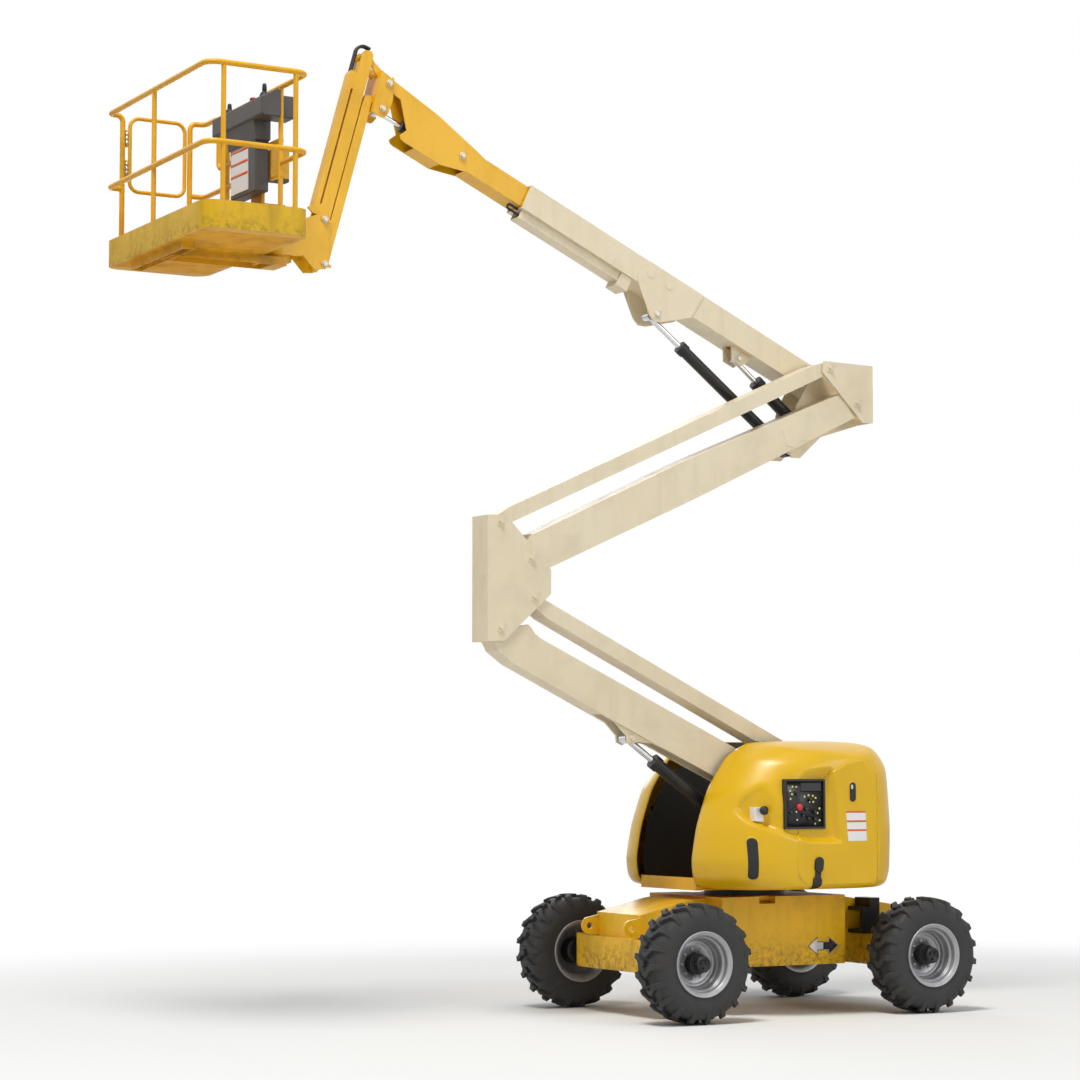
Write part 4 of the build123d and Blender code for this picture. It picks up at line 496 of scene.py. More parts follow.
def turned(name, profile, centre, finish, parts=96, axis="Y", direction=1.0):
    """A turned shape: (along, radius) pairs spun round an axis across the machine or upright."""
    points, faces = [], []
    for index in range(parts):
        angle = 2 * math.pi * index / parts
        for along, radius in profile:
            a, b = radius * math.cos(angle), radius * math.sin(angle)
            spot = (a, direction * along, b) if axis == "Y" else (a, b, direction * along)
            points.append(Vector(centre) + Vector(spot))
    count = len(profile)
    for index in range(parts):
        after = (index + 1) % parts
        for row in range(count - 1):
            faces.append((
                index * count + row, index * count + row + 1, after * count + row + 1, after * count + row))
    return outward(mesh_piece(name, points, faces, finish))


def slab(name, outline, low, high, finish, plane="XZ", bevel=0.004, segments=3):
    """A plate cut to an outline between two stations, with softened edges."""
    order = {"XZ": lambda a, b, c: (a, c, b), "YZ": lambda a, b, c: (c, a, b)}[plane]
    count = len(outline)
    points = [order(a, b, low) for a, b in outline] + [order(a, b, high) for a, b in outline]
    faces = [tuple(range(count)), tuple(range(2 * count - 1, count - 1, -1))]
    faces += [(i, (i + 1) % count, count + (i + 1) % count, count + i) for i in range(count)]
    piece = outward(mesh_piece(name, points, faces, finish))
    if bevel:
        soften(piece, bevel, segments)
    return piece


def soften(piece, width, segments=3, angle=30.0):
    """Rounds the sharp edges and keeps flats flat, then applies it."""
    edge = piece.modifiers.new("edge", "BEVEL")
    edge.width = width
    edge.segments = segments
    edge.limit_method = "ANGLE"
    edge.angle_limit = math.radians(angle)
    edge.harden_normals = True
    return settle(piece)


def settle(piece):
    """Applies live modifiers to the mesh, so that the piece is plain."""
    graph = bpy.context.evaluated_depsgraph_get()
    plain = bpy.data.meshes.new_from_object(piece.evaluated_get(graph))
    old = piece.data
    piece.modifiers.clear()
    piece.data = plain
    plain.name = piece.name
    bpy.data.meshes.remove(old)
    return piece


def joined(name, pieces):
    """Joins pieces of one body into one object and keeps their materials."""
    shape = bmesh.new()
    finishes = []
    for piece in pieces:
        for finish in piece.data.materials:
            if finish not in finishes:
                finishes.append(finish)
    for piece in pieces:
        lookup = [finishes.index(finish) for finish in piece.data.materials]
        copy = piece.data.copy()
        for face in copy.polygons:
            face.material_index = lookup[face.material_index]
        shape.from_mesh(copy)
        bpy.data.meshes.remove(copy)
    mesh = bpy.data.meshes.new(name)
    shape.to_mesh(mesh)
    shape.free()
    for finish in finishes:
        mesh.materials.append(finish)
    for piece in pieces:
        bpy.data.objects.remove(piece)
    whole = bpy.data.objects.new(name, mesh)
    bpy.context.scene.collection.objects.link(whole)
    return whole


print("mesh makers ready")

# %% [markdown]
# ## Rings of repeated things
# Tread bars and wheel nuts repeat round a circle. A small Geometry Nodes
# tree places them: one point for each copy, one instance on each point
# turned by its share of the circle, then Realize Instances and Set Material.

# %% Build the ring tree


def copying_tree(name, inputs):
    """A node tree that puts copies of one object on points and coats them.

    It returns the tree and the three nodes that a caller still has to feed.
    """
    tree = bpy.data.node_groups.new(name, "GeometryNodeTree")
    for label, kind in inputs:
        tree.interface.new_socket(label, in_out="INPUT", socket_type="NodeSocket" + kind)
    tree.interface.new_socket("Geometry", in_out="OUTPUT", socket_type="NodeSocketGeometry")
    given = tree.nodes.new("NodeGroupInput")
    result = tree.nodes.new("NodeGroupOutput")
    thing = tree.nodes.new("GeometryNodeObjectInfo")
    cloud = tree.nodes.new("GeometryNodeMeshToPoints")
    copies = tree.nodes.new("GeometryNodeInstanceOnPoints")
    real = tree.nodes.new("GeometryNodeRealizeInstances")
    coat = tree.nodes.new("GeometryNodeSetMaterial")
    link_all(tree, (
        (given.outputs["Thing"], thing.inputs["Object"]),
        (cloud.outputs["Points"], copies.inputs["Points"]),
        (thing.outputs["Geometry"], copies.inputs["Instance"]),
        (copies.outputs["Instances"], real.inputs["Geometry"]),
        (real.outputs["Geometry"], coat.inputs["Geometry"]),
        (given.outputs["Finish"], coat.inputs["Material"]),
        (coat.outputs["Geometry"], result.inputs["Geometry"])))
    return tree, given, cloud, copies


def ring_tree(name):
    """A node tree that copies one object round an axis that runs across the machine."""
    tree, given, cloud, copies = copying_tree(name, (
        ("Thing", "Object"), ("Count", "Int"), ("First Turn", "Float"), ("Finish", "Material")))
    dots = tree.nodes.new("GeometryNodeMeshLine")
    dots.mode = "OFFSET"
    dots.inputs["Offset"].default_value = (0.0, 0.0, 0.0)
    number = tree.nodes.new("GeometryNodeInputIndex")
    share = tree.nodes.new("ShaderNodeMath")
    share.operation = "DIVIDE"
    turn = tree.nodes.new("ShaderNodeMath")
    turn.operation = "MULTIPLY_ADD"
    turn.inputs[1].default_value = 2 * math.pi
    angles = tree.nodes.new("ShaderNodeCombineXYZ")
    link_all(tree, (
        (given.outputs["Count"], dots.inputs["Count"]),
        (dots.outputs["Mesh"], cloud.inputs["Mesh"]),
        (number.outputs["Index"], share.inputs[0]),
        (given.outputs["Count"], share.inputs[1]),
        (share.outputs[0], turn.inputs[0]),
        (given.outputs["First Turn"], turn.inputs[2]),
        (turn.outputs[0], angles.inputs["Y"]),
        (angles.outputs["Vector"], copies.inputs["Rotation"])))
    return tree


RING = ring_tree("ring_of_things")


def ring(name, thing, count, first_turn, finish, centre, flip=False):
    """Copies a thing, modelled about the origin, round a wheel's axle and moves the ring to its wheel."""
    carrier = mesh_piece(name, [(0, 0, 0)], [], finish)
    copier = carrier.modifiers.new("ring", "NODES")
    copier.node_group = RING
    sockets = {s.name: s.identifier for s in RING.interface.items_tree if s.in_out == "INPUT"}
    copier[sockets["Thing"]] = thing
    copier[sockets["Count"]] = count
    copier[sockets["First Turn"]] = first_turn
    copier[sockets["Finish"]] = finish
    settle(carrier)
    turn = Matrix.Rotation(math.pi, 4, "Z") if flip else Matrix.Identity(4)
    carrier.data.transform(Matrix.Translation(centre) @ turn)
    return carrier


print("ring tree nodes", len(RING.nodes))

# %% [markdown]
# ## Wheels
# The tyres are the deep lugged kind of building-site machines: a round
# carcass with two rows of bent bars that pass over the shoulder and run a
# little way down the wall. One bar of each row is modelled and the ring tree
# copies it nineteen times. The wall keeps a moulded rib near the rim.

# %% Model one tread bar

WHEEL_PLACES = {
    "front_left": (0.995, 0.853), "front_right": (0.995, -0.853),
    "rear_left": (-0.995, 0.853), "rear_right": (-0.995, -0.853),
}
TYRE_RADIUS = 0.423
CARCASS_RADIUS = 0.392
BAR_COUNT = 19
# Tread bar stations: across the tyre, round the tyre, half width, foot radius, top radius.
BAR_STATIONS = [
    (-0.012, 0.020, 0.018, 0.386, 0.4215),
    (0.012, 0.030, 0.021, 0.386, 0.4225),
    (0.036, 0.026, 0.024, 0.386, 0.4225),
    (0.060, 0.004, 0.025, 0.386, 0.4215),
    (0.084, -0.019, 0.024, 0.384, 0.4200),
    (0.106, -0.026, 0.023, 0.380, 0.4175),
    (0.123, -0.027, 0.022, 0.366, 0.4120),
    (0.137, -0.027, 0.020, 0.345, 0.3920),
    (0.1465, -0.026, 0.018, 0.335, 0.3620),
    (0.1480, -0.025, 0.014, 0.328, 0.3400),
]
BAR_SPREADS = (-1.0, -0.93, -0.80, 0.80, 0.93, 1.0)
BAR_ROUND = 0.004
# From this station on the bar runs down the wall, and its feet stay inside the carcass.
FIRST_WALL_STATION = 6
WALL_FOOT = 0.128


def tread_bar(name, side):
    """One bent tread bar about the wheel's centre, on one side of the tread."""
    rows = []
    for index, (across, round_by, half, foot, top) in enumerate(BAR_STATIONS):
        angle = round_by / TYRE_RADIUS
        foot_across = min(across, WALL_FOOT) if index >= FIRST_WALL_STATION else across
        radii = (foot, top - BAR_ROUND, top, top, top - BAR_ROUND, foot)
        row = []
        for spread, radius in zip(BAR_SPREADS, radii):
            turn = angle + spread * half / max(radius, 0.3)
            out = foot_across if abs(spread) == 1.0 else across
            row.append((radius * math.sin(turn), side * out, radius * math.cos(turn)))
        rows.append(row)
    points = [p for row in rows for p in row]
    width = len(rows[0])
    faces = []
    for i in range(len(rows) - 1):
        for j in range(width - 1):
            faces.append((i * width + j, i * width + j + 1, (i + 1) * width + j + 1, (i + 1) * width + j))
    faces.append(tuple(range(width)))
    faces.append(tuple((len(rows) - 1) * width + j for j in range(width)))
    return outward(mesh_piece(name, points, faces, tyre_rubber, smooth=False))


bars = {side: tread_bar("bar_pattern_" + word, side) for side, word in ((1, "outer"), (-1, "inner"))}
print("bar faces", len(bars[1].data.polygons))

# %% Turn the carcass and place the bars

TYRE_PROFILE = [
    (-0.126, 0.2165), (-0.140, 0.226), (-0.1435, 0.236), (-0.1425, 0.246), (-0.1465, 0.262),
    (-0.1490, 0.285), (-0.1490, 0.310),
    (-0.1455, 0.340), (-0.1370, 0.366), (-0.1230, 0.3830), (-0.1000, 0.3900), (-0.0600, 0.3930),
    (0.0, 0.3940),
    (0.0600, 0.3930), (0.1000, 0.3900), (0.1230, 0.3830), (0.1370, 0.366), (0.1455, 0.340), (0.1490, 0.310),
    (0.1490, 0.285),
    (0.1465, 0.262), (0.1425, 0.246), (0.1435, 0.236), (0.140, 0.226), (0.126, 0.2165),
]
for wheel, (x, y) in WHEEL_PLACES.items():
    centre = (x, y, TYRE_RADIUS)
    flip = y < 0
    carcass = turned("carcass", TYRE_PROFILE, centre, tyre_rubber, 144)
    outer = ring("bars_outer", bars[1], BAR_COUNT, 0.0, tyre_rubber, centre, flip)
    inner = ring("bars_inner", bars[-1], BAR_COUNT, math.pi / BAR_COUNT, tyre_rubber, centre, flip)
    tyre = joined("lugged_tyre_" + wheel, [carcass, outer, inner])
    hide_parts("tyre_" + wheel)
    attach(tyre, "wheel_" + wheel)
print("tyre triangles", sum(len(p.vertices) - 2 for p in tyre.data.polygons))

# %% [markdown]
# ## Rims and hubs
# The rims are stepped steel discs painted silver, with nine nuts round a
# black drive hub. A turned profile with small rounds at each step gives the
# bright rings that the photograph shows.

# %% Turn the rims

RIM_PROFILE = [
    (0.1540, 0.230), (0.1545, 0.2265), (0.1530, 0.2205), (0.1480, 0.2170), (0.1440, 0.2090),
    (0.1380, 0.2015), (0.1330, 0.1985),
    (0.1080, 0.1955), (0.1030, 0.1935), (0.0990, 0.1880), (0.0930, 0.1800), (0.0880, 0.1780),
    (0.0500, 0.1745), (0.0460, 0.1720),
    (0.0420, 0.1665), (0.0370, 0.1640), (0.0180, 0.1630), (0.0130, 0.1600), (0.0100, 0.1540),
    (0.0090, 0.1440), (0.0120, 0.1400),
    (0.0120, 0.1340), (0.0090, 0.1300), (0.0080, 0.0600), (-0.0060, 0.0600), (-0.0060, 0.1720),
    (-0.085, 0.1780),
    (-0.133, 0.198), (-0.150, 0.214), (-0.1545, 0.226), (-0.1540, 0.230), (-0.141, 0.230), (-0.129, 0.2155),
    (0.129, 0.2155),
    (0.141, 0.230), (0.1540, 0.230),
]


NUT_SIDES = 6
NUT_COUNT = 9
BOLT_CIRCLE = 0.102
NUT_PROFILE = [
    (0.0080, 0.0125), (0.0165, 0.0125), (0.0185, 0.0105), (0.0185, 0.0065), (
        0.0260, 0.0062), (0.0268, 0.0050)]


def nut_pattern():
    """One wheel nut with its stud, standing on the disc at the bolt circle."""
    points = []
    for along, radius in NUT_PROFILE:
        for i in range(NUT_SIDES):
            a = 2 * math.pi * i / NUT_SIDES
            points.append((radius * math.cos(a), along, BOLT_CIRCLE + radius * math.sin(a)))
    faces = ring_faces(len(NUT_PROFILE), NUT_SIDES)
    faces.append(tuple(range(NUT_SIDES)))
    faces.append(tuple(range(len(points) - NUT_SIDES, len(points))))
    return outward(mesh_piece("nut_pattern", points, faces, rim_silver, smooth=False))


nut = nut_pattern()
for wheel, (x, y) in WHEEL_PLACES.items():
    centre = (x, y, TYRE_RADIUS)
    side = 1.0 if y > 0 else -1.0
    disc = turned("disc", RIM_PROFILE, centre, rim_silver, 128, direction=side)
    nuts = ring("nuts", nut, NUT_COUNT, 0.2, rim_silver, centre, y < 0)
    rim = joined("silver_rim_" + wheel, [disc, nuts])
    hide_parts("rim_" + wheel)
    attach(rim, "wheel_" + wheel)
print("rim profile points", len(RIM_PROFILE))

# %% Turn the drive hubs

HUB_PROFILE = [
    (-0.095, 0.0), (-0.095, 0.090), (-0.092, 0.092), (-0.030, 0.098), (-0.0065, 0.098), (-0.0065, 0.0595),
    (0.0085, 0.0595),
    (0.0085, 0.0750), (0.0120, 0.0765), (0.0660, 0.0725), (0.0700, 0.0700), (0.0705, 0.0640),
    (0.0760, 0.0610), (0.0960, 0.0600),
    (0.0965, 0.0570), (0.1010, 0.0570), (0.1020, 0.0600), (0.1340, 0.0580), (0.1400, 0.0540),
    (0.1440, 0.0470), (0.1440, 0.0400),
    (0.1390, 0.0370), (0.1390, 0.0),
]
for wheel, (x, y) in WHEEL_PLACES.items():
    centre = Vector((x, y, TYRE_RADIUS))
    side = 1.0 if y > 0 else -1.0
    body = turned("body", HUB_PROFILE, centre, hub_black, 96, direction=side)
    bits = [body]
    for turn in range(3):
        angle = 0.5 + turn * 2 * math.pi / 3
        spot = Vector((0.022 * math.cos(angle), 0.0, 0.022 * math.sin(angle)))
        bits.append(turned(
            "plug", [(0.139, 0.0085), (0.1455, 0.0085), (0.1465, 0.0072), (0.1465, 0.0)], centre + spot,
            hub_black, 20, direction=side))
    hub = joined("drive_hub_" + wheel, bits)
    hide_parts("hub_" + wheel)
    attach(hub, "wheel_" + wheel)
for pattern in (*bars.values(), nut):
    bpy.data.objects.remove(pattern)
print("hubs", len(WHEEL_PLACES))

# %% [markdown]
# ## The moulded pods
# Both pods have one bulged form: flat on the outside, curved in towards the
# front, the top and the rear. Each station across the machine has a side
# outline, and the outlines shrink as the station moves out, as a quarter
# ellipse does. The surface is built from smooth closed curves through the
# outline's corners. It is cut at the seam into the lift-up hood and the
# heavy rear weight.

# %% Shape the pod
POD_INNER, POD_OUTER, POD_LOW, POD_HIGH, POD_SEAM = 0.3845, 0.930, 0.909, 1.988, -0.548


def pod_corners(y):
    """The pod's side outline at one station, as corners (x, z)."""
    share = min(max(0.0, (y - 0.383) / 0.547), 0.9975)
    bow = math.sqrt(1.0 - share * share)
    front = 0.118 + 0.594 * bow
    back_share = min(max(y - 0.600, 0.0) / 0.345, 0.96)
    rear = -0.470 - 0.353 * math.sqrt(1.0 - back_share * back_share)
    top = POD_HIGH - 0.150 * (1.0 - bow)
    low = POD_LOW + 0.050 * (1.0 - bow) ** 2
    rise = top - low
    roof = front - 0.700 if front > 0.5 else front - 0.560
    return [
        (rear + 0.060, low), (front - 0.075, low), (front - 0.014, low + 0.075 * rise),
        (front, low + 0.2 * rise),
        (front - 0.045, low + 0.43 * rise), (front - 0.140, low + 0.68 * rise),
        (front - 0.300, low + 0.895 * rise),
        (front - 0.470, low + 0.985 * rise), (roof, top), (rear + 0.150, top),
        (rear + 0.030, low + 0.86 * rise), (rear, low + 0.45 * rise), (rear + 0.010, low + 0.12 * rise),
    ]


def smooth_loop(corners, count):
    """A smooth closed curve near the corners: corner cutting keeps it inside them, then even spacing."""
    loop = np.array(corners, float)
    for share in (0.14, 0.25, 0.25, 0.25):
        after = np.roll(loop, -1, axis=0)
        loop = np.stack(
            [loop * (1 - share) + after * share, loop * share + after * (1 - share)], 1).reshape(-1, 2)
    closed = np.vstack([loop, loop[:1]])
    walked = np.concatenate([[0.0], np.cumsum(np.linalg.norm(np.diff(closed, axis=0), axis=1))])
    at = np.linspace(0.0, walked[-1], count, endpoint=False)
    return np.stack([np.interp(at, walked, closed[:, 0]), np.interp(at, walked, closed[:, 1])], 1)


AROUND, ACROSS, CAP = 256, 30, 40
RECESS_EDGE = [
    (0.533, 1.504), (0.505, 1.565), (0.421, 1.654), (0.334, 1.705), (0.226, 1.750), (0.075, 1.780),
    (-0.150, 1.797),
    (-0.170, 1.784), (-0.238, 1.264), (-0.222, 1.246), (0.030, 1.250), (0.182, 1.280), (0.285, 1.313),
    (0.383, 1.355),
    (0.468, 1.397), (0.514, 1.449)]


def inside_depth(x, z, edge):
    """Distance inside a closed outline, or a negative distance outside it."""
    best, inside = 1e9, False
    for (x1, z1), (x2, z2) in zip(edge, edge[1:] + edge[:1]):
        run = ((x - x1) * (x2 - x1) + (z - z1) * (z2 - z1)) / ((x2 - x1) ** 2 + (z2 - z1) ** 2)
        run = min(max(run, 0.0), 1.0)
        best = min(best, math.hypot(x - x1 - run * (x2 - x1), z - z1 - run * (z2 - z1)))
        if (z1 > z) != (z2 > z) and x < x1 + (z - z1) * (x2 - x1) / (z2 - z1):
            inside = not inside
    return best if inside else -best


def recess_floor(x):
    """The station of the recess floor: a level plinth behind the panel, then a scoop that runs out at its tip."""
    if x < 0.270:
        return 0.8800
    if x < 0.335:
        return 0.8800 - 0.100 * (x - 0.270) / 0.065
    return 0.780 - 0.135 * (x - 0.335) / 0.198


def recessed(x, y, z):
    """The skin's station at a place, with the recess let into it."""
    share = min(max(inside_depth(x, z, RECESS_EDGE) / 0.048, 0.0), 1.0)
    share = 0.5 * share + 0.5 * share * share * (3.0 - 2.0 * share)
    return y - share * max(0.0, y - recess_floor(x))


def pod_surface(name, side):
    """The whole pod as an open shell from its inner edge out to the middle of its side."""
    points = []
    for row in range(ACROSS + 1):
        turn = 0.5 * math.pi * row / ACROSS
        y = POD_INNER + (POD_OUTER - POD_INNER) * math.sin(turn)
        y = min(y, POD_OUTER)
        for x, z in smooth_loop(pod_corners(y), AROUND):
            points.append((x, y, z))
    rim = [points[-AROUND + i] for i in range(AROUND)]
    middle = (sum(p[0] for p in rim) / AROUND, sum(p[2] for p in rim) / AROUND)
    for row in range(1, CAP):
        share = 1.0 - row / CAP
        for x, _, z in rim:
            points.append((
                middle[0] + (x - middle[0]) * share, POD_OUTER, middle[1] + (z - middle[1]) * share))
    points.append((middle[0], POD_OUTER, middle[1]))
    points = [(x, recessed(x, y, z) if y > 0.45 else y, z) for x, y, z in points]
    rows = ACROSS + CAP
    faces = ring_faces(rows, AROUND)
    last = (rows - 1) * AROUND
    faces += [(last + i, last + (i + 1) % AROUND, len(points) - 1) for i in range(AROUND)]
    points = [(x, side * y, z) for x, y, z in points]
    return mesh_piece(name, points, faces, hood_yellow)


def cut_at(piece, x, keep_front, close):
    """Cuts a mesh at a plane across the machine, keeps one side and may close the cut."""
    shape = bmesh.new()
    shape.from_mesh(piece.data)
    bmesh.ops.bisect_plane(
        shape, geom=shape.verts[:] + shape.edges[:] + shape.faces[:], plane_co=(x, 0, 0),
        plane_no=(1, 0, 0), clear_inner=keep_front, clear_outer=not keep_front)
    if close:
        bmesh.ops.holes_fill(shape, edges=[e for e in shape.edges if e.is_boundary], sides=0)
    shape.to_mesh(piece.data)
    shape.free()
    return piece


pods = {}
for side, word in ((1, "left"), (-1, "right")):
    hood = cut_at(pod_surface("hood", side), POD_SEAM + 0.002, True, False)
    outward(hood)
    wall = hood.modifiers.new("wall", "SOLIDIFY")
    wall.thickness = 0.008
    wall.offset = -1.0
    settle(hood)
    hood.name = "moulded_hood_" + word
    pods[word] = hood
print("hood triangles", sum(len(p.vertices) - 2 for p in pods["left"].data.polygons))

# %% Rear weight
weights = []
for side in (1, -1):
    half = cut_at(pod_surface("weight_half", side), POD_SEAM - 0.002, False, True)
    weights.append(outward(half))
block = slab(
    "weight_block", [(-0.811, 0.914), (-0.7055, 0.914), (-0.7055, 1.144), (-0.811, 1.144)], -0.386, 0.386,
    hood_yellow, bevel=0.008)
rear_weight = joined("rear_weight", [*weights, block])
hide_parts("counterweight")
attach(rear_weight, "turntable")
print("rear weight size", [round(v, 3) for v in rear_weight.dimensions])

# %% [markdown]
# ## Things set on the hoods
# Handle slots, straps, the blank plate and the control panel lie on a
# curved skin. A ray cast on the finished shell finds the skin under each
# point, so a patch can follow it at a small height.

# %% Patches that follow the skin


def skin_finder(piece, side):
    """Returns the skin's y under a place (x, z), seen from outside."""
    graph = bpy.context.evaluated_depsgraph_get()
    tree = BVHTree.FromObject(piece, graph)

    def find(x, z):
        hit = tree.ray_cast(Vector((x, side * 2.0, z)), Vector((0.0, -side, 0.0)))
        return hit[0].y if hit[0] is not None else side * POD_OUTER
    return find


def stadium(centre, length, width, tilt, parts=28):
    """An oval slot's outline as (x, z) points, counted round."""
    outline = []
    straight = (length - width) / 2
    for i in range(parts):
        a = 2 * math.pi * i / parts
        lift = straight if math.sin(a) >= 0 else -straight
        u, v = width / 2 * math.cos(a), width / 2 * math.sin(a) + lift
        t = math.radians(tilt)
        outline.append((
            centre[0] + u * math.cos(t) - v * math.sin(t), centre[1] + u * math.sin(t) + v * math.cos(t)))
    dense = []
    for (x1, z1), (x2, z2) in zip(outline, outline[1:] + outline[:1]):
        steps = max(1, round(math.hypot(x2 - x1, z2 - z1) / 0.012))
        dense += [(x1 + (x2 - x1) * i / steps, z1 + (z2 - z1) * i / steps) for i in range(steps)]
    return dense


def patch(name, outline, find, side, height, finish, rings=6, drop=0.0):
    """A thin crowned patch that lies on the skin inside an outline."""
    middle = (sum(p[0] for p in outline) / len(outline), sum(p[1] for p in outline) / len(outline))
    count = len(outline)
    points = []
    levels = [(1.0, -0.003), (1.0, height * 0.7), (0.985, height)]
    levels += [(1.0 - 0.985 * i / rings, height - drop) for i in range(1, rings)]
    for share, lift in levels:
        for x, z in outline:
            px, pz = middle[0] + (x - middle[0]) * share, middle[1] + (z - middle[1]) * share
            points.append((px, find(px, pz) + side * lift, pz))
    points.append((middle[0], find(*middle) + side * (height - drop), middle[1]))
    faces = ring_faces(len(levels), count)
    last = (len(levels) - 1) * count
    faces += [(last + i, last + (i + 1) % count, len(points) - 1) for i in range(count)]
    return outward(mesh_piece(name, points, faces, finish))


find_skin = {word: skin_finder(pods[word], side) for side, word in ((1, "left"), (-1, "right"))}
for side, word in ((1, "left"), (-1, "right")):
    find = find_skin[word]
    trims = [
        patch("slot_lip", stadium((0.466, 1.143), 0.318, 0.084, 0.0), find, side, 0.003, hood_yellow),
        # The black oval in the handle slot is painted shade for the slot's depth, which is not cut.
        patch(
            "slot_dark", stadium((0.466, 1.143), 0.296, 0.064, 0.0), find, side, 0.006, seal_black,
            drop=0.002),
        patch("latch_lip", stadium((-0.329, 1.616), 0.156, 0.072, 0.0), find, side, 0.003, hood_yellow),
        # The black oval in the latch recess is painted shade for the recess's depth, which is not cut.
        patch(
            "latch_dark", stadium((-0.329, 1.616), 0.140, 0.054, 0.0), find, side, 0.006, seal_black,
            drop=0.002),
        patch("latch_plate", stadium((-0.320, 1.652), 0.034, 0.018, 0.0), find, side, 0.010, hinge_steel),
    ]
    straps = [
        patch("strap_high", stadium((-0.026, 1.096), 0.112, 0.070, 7.0), find, side, 0.016, seal_black),
        patch("strap_low", stadium((-0.010, 0.966), 0.104, 0.072, 8.0), find, side, 0.012, seal_black),
        patch("strap_neck", stadium((-0.018, 1.030), 0.080, 0.046, 7.0), find, side, 0.011, seal_black),
    ]
    trim = joined("hood_trim_" + word, trims + straps)
    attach(trim, f"hood_{word}_body")
PLATE_CORNERS = [(-0.272, 1.479), (-0.443, 1.479), (-0.455, 1.262), (-0.288, 1.262)]


def filled(corners, parts=5):
    """An outline with points spread along each straight side."""
    dense = []
    for (x1, z1), (x2, z2) in zip(corners, corners[1:] + corners[:1]):
        dense += [(x1 + (x2 - x1) * i / parts, z1 + (z2 - z1) * i / parts) for i in range(parts)]
    return dense


def plate_band(top, bottom, finish):
    """A coloured band across the blank plate between two shares of its height."""
    (x1, z1), (x2, z2), (x3, z3), (x4, z4) = PLATE_CORNERS
    left = [(x1 + (x4 - x1) * s, z1 + (z4 - z1) * s) for s in (top, bottom)]
    right = [(x2 + (x3 - x2) * s, z2 + (z3 - z2) * s) for s in (top, bottom)]
    return patch(
        "band", filled([left[0], right[0], right[1], left[1]]), find_skin["left"], 1, 0.0022, finish,
        rings=2)


plate_bits = [patch("blank_plate", filled(PLATE_CORNERS), find_skin["left"], 1, 0.0012, white_label)]
plate_bits += [plate_band(top, top + 0.06, orange_label) for top in (0.0, 0.31, 0.61)]
plate = joined("blank_plate", plate_bits)
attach(plate, "hood_left_body")
for side, word in ((1, "left"), (-1, "right")):
    hood = pods[word]
    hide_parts("hood_" + word)
    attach(hood, f"hood_{word}_body")
print("patches", len(trim.data.polygons))

# %% [markdown]
# ## Ground control panel
# The panel is a black plate with rows of small marks, a few selector knobs,
# a grey display and one red stop button. A second Geometry Nodes tree puts
# one copy of a thing on each point of a mesh, and the points come from a
# short table in the panel's own plane.

# %% Build the points tree


def spots_tree(name):
    """A node tree that puts one object on each point of a mesh."""
    tree, given, cloud, _ = copying_tree(name, (
        ("Geometry", "Geometry"), ("Thing", "Object"), ("Finish", "Material")))
    link_all(tree, [(given.outputs["Geometry"], cloud.inputs["Mesh"])])
    return tree


SPOTS = spots_tree("thing_on_each_point")


def spread(name, thing, places, finish):
    """Copies a thing, modelled about the origin, to each place."""
    carrier = mesh_piece(name, places, [], finish)
    copier = carrier.modifiers.new("spread", "NODES")
    copier.node_group = SPOTS
    sockets = {s.name: s.identifier for s in SPOTS.interface.items_tree if s.in_out == "INPUT"}
    copier[sockets["Thing"]] = thing
    copier[sockets["Finish"]] = finish
    return settle(carrier)


def knob(name, radius, height, finish, sides=24):
    """A small turned button or knob that stands out along +Y from the origin."""
    return turned(
        name, [(0.0, radius), (height * 0.75, radius), (height, radius * 0.86), (height, 0.0)], (0, 0, 0),
        finish, sides)


print("points tree nodes", len(SPOTS.nodes))

# %% Dress the panel
PANEL_FACE = 0.8905
PANEL_MIDDLE = (0.0665, 1.531)


def on_panel(across, up, out=0.0):
    """A place on the panel: across to the photograph's right, up, and out of its face, in metres."""
    return (PANEL_MIDDLE[0] - across, PANEL_FACE + out, PANEL_MIDDLE[1] + up)


def panel_box(left, right, low, high):
    """Corners (x, z) of a rectangle on the panel, given as the photograph sees it."""
    near_x, far_x = PANEL_MIDDLE[0] - right, PANEL_MIDDLE[0] - left
    return [
        (near_x, PANEL_MIDDLE[1] + low), (far_x, PANEL_MIDDLE[1] + low), (far_x, PANEL_MIDDLE[1] + high),
        (near_x, PANEL_MIDDLE[1] + high)]


small_mark = knob("mark_pattern", 0.0075, 0.004, bright_button, 12)
pale_mark = knob("pale_pattern", 0.006, 0.004, white_label, 12)
selector = knob("switch_pattern", 0.013, 0.022, black_plastic)
SWITCH_PLACES = [
    (-0.080, 0.085), (0.045, 0.032), (0.010, -0.040), (0.085, -0.060), (0.085, -0.110), (-0.125, -0.060),
    (0.030, -0.105), (-0.020, -0.085)]
MARK_PLACES = [
    (-0.104, 0.123), (-0.124, 0.093), (-0.108, 0.070), (-0.121, 0.036), (-0.071, 0.123), (0.0, 0.053),
    (0.035, 0.063),
    (0.072, 0.058), (0.097, 0.043), (0.076, 0.015), (0.130, -0.033), (0.113, -0.065), (
        0.130, -0.118), (0.091, -0.141)]
marks = [on_panel(across, up) for across, up in MARK_PLACES]
bits = [
    slab(
        "panel_face", panel_box(-0.160, 0.160, -0.163, 0.163), PANEL_FACE - 0.002, PANEL_FACE + 0.001,
        black_plastic, bevel=0.0),
    slab(
        "display", panel_box(-0.036, 0.142, 0.093, 0.152), PANEL_FACE, PANEL_FACE + 0.006, case_plastic,
        bevel=0.002),
    spread("marks", small_mark, marks, bright_button),
    spread("switches", selector, [on_panel(*spot) for spot in SWITCH_PLACES], black_plastic),
    spread(
        "pale_marks", pale_mark,
        [on_panel(-0.071, -0.055), on_panel(-0.065, -0.113), on_panel(0.045, 0.015)], white_label),
]
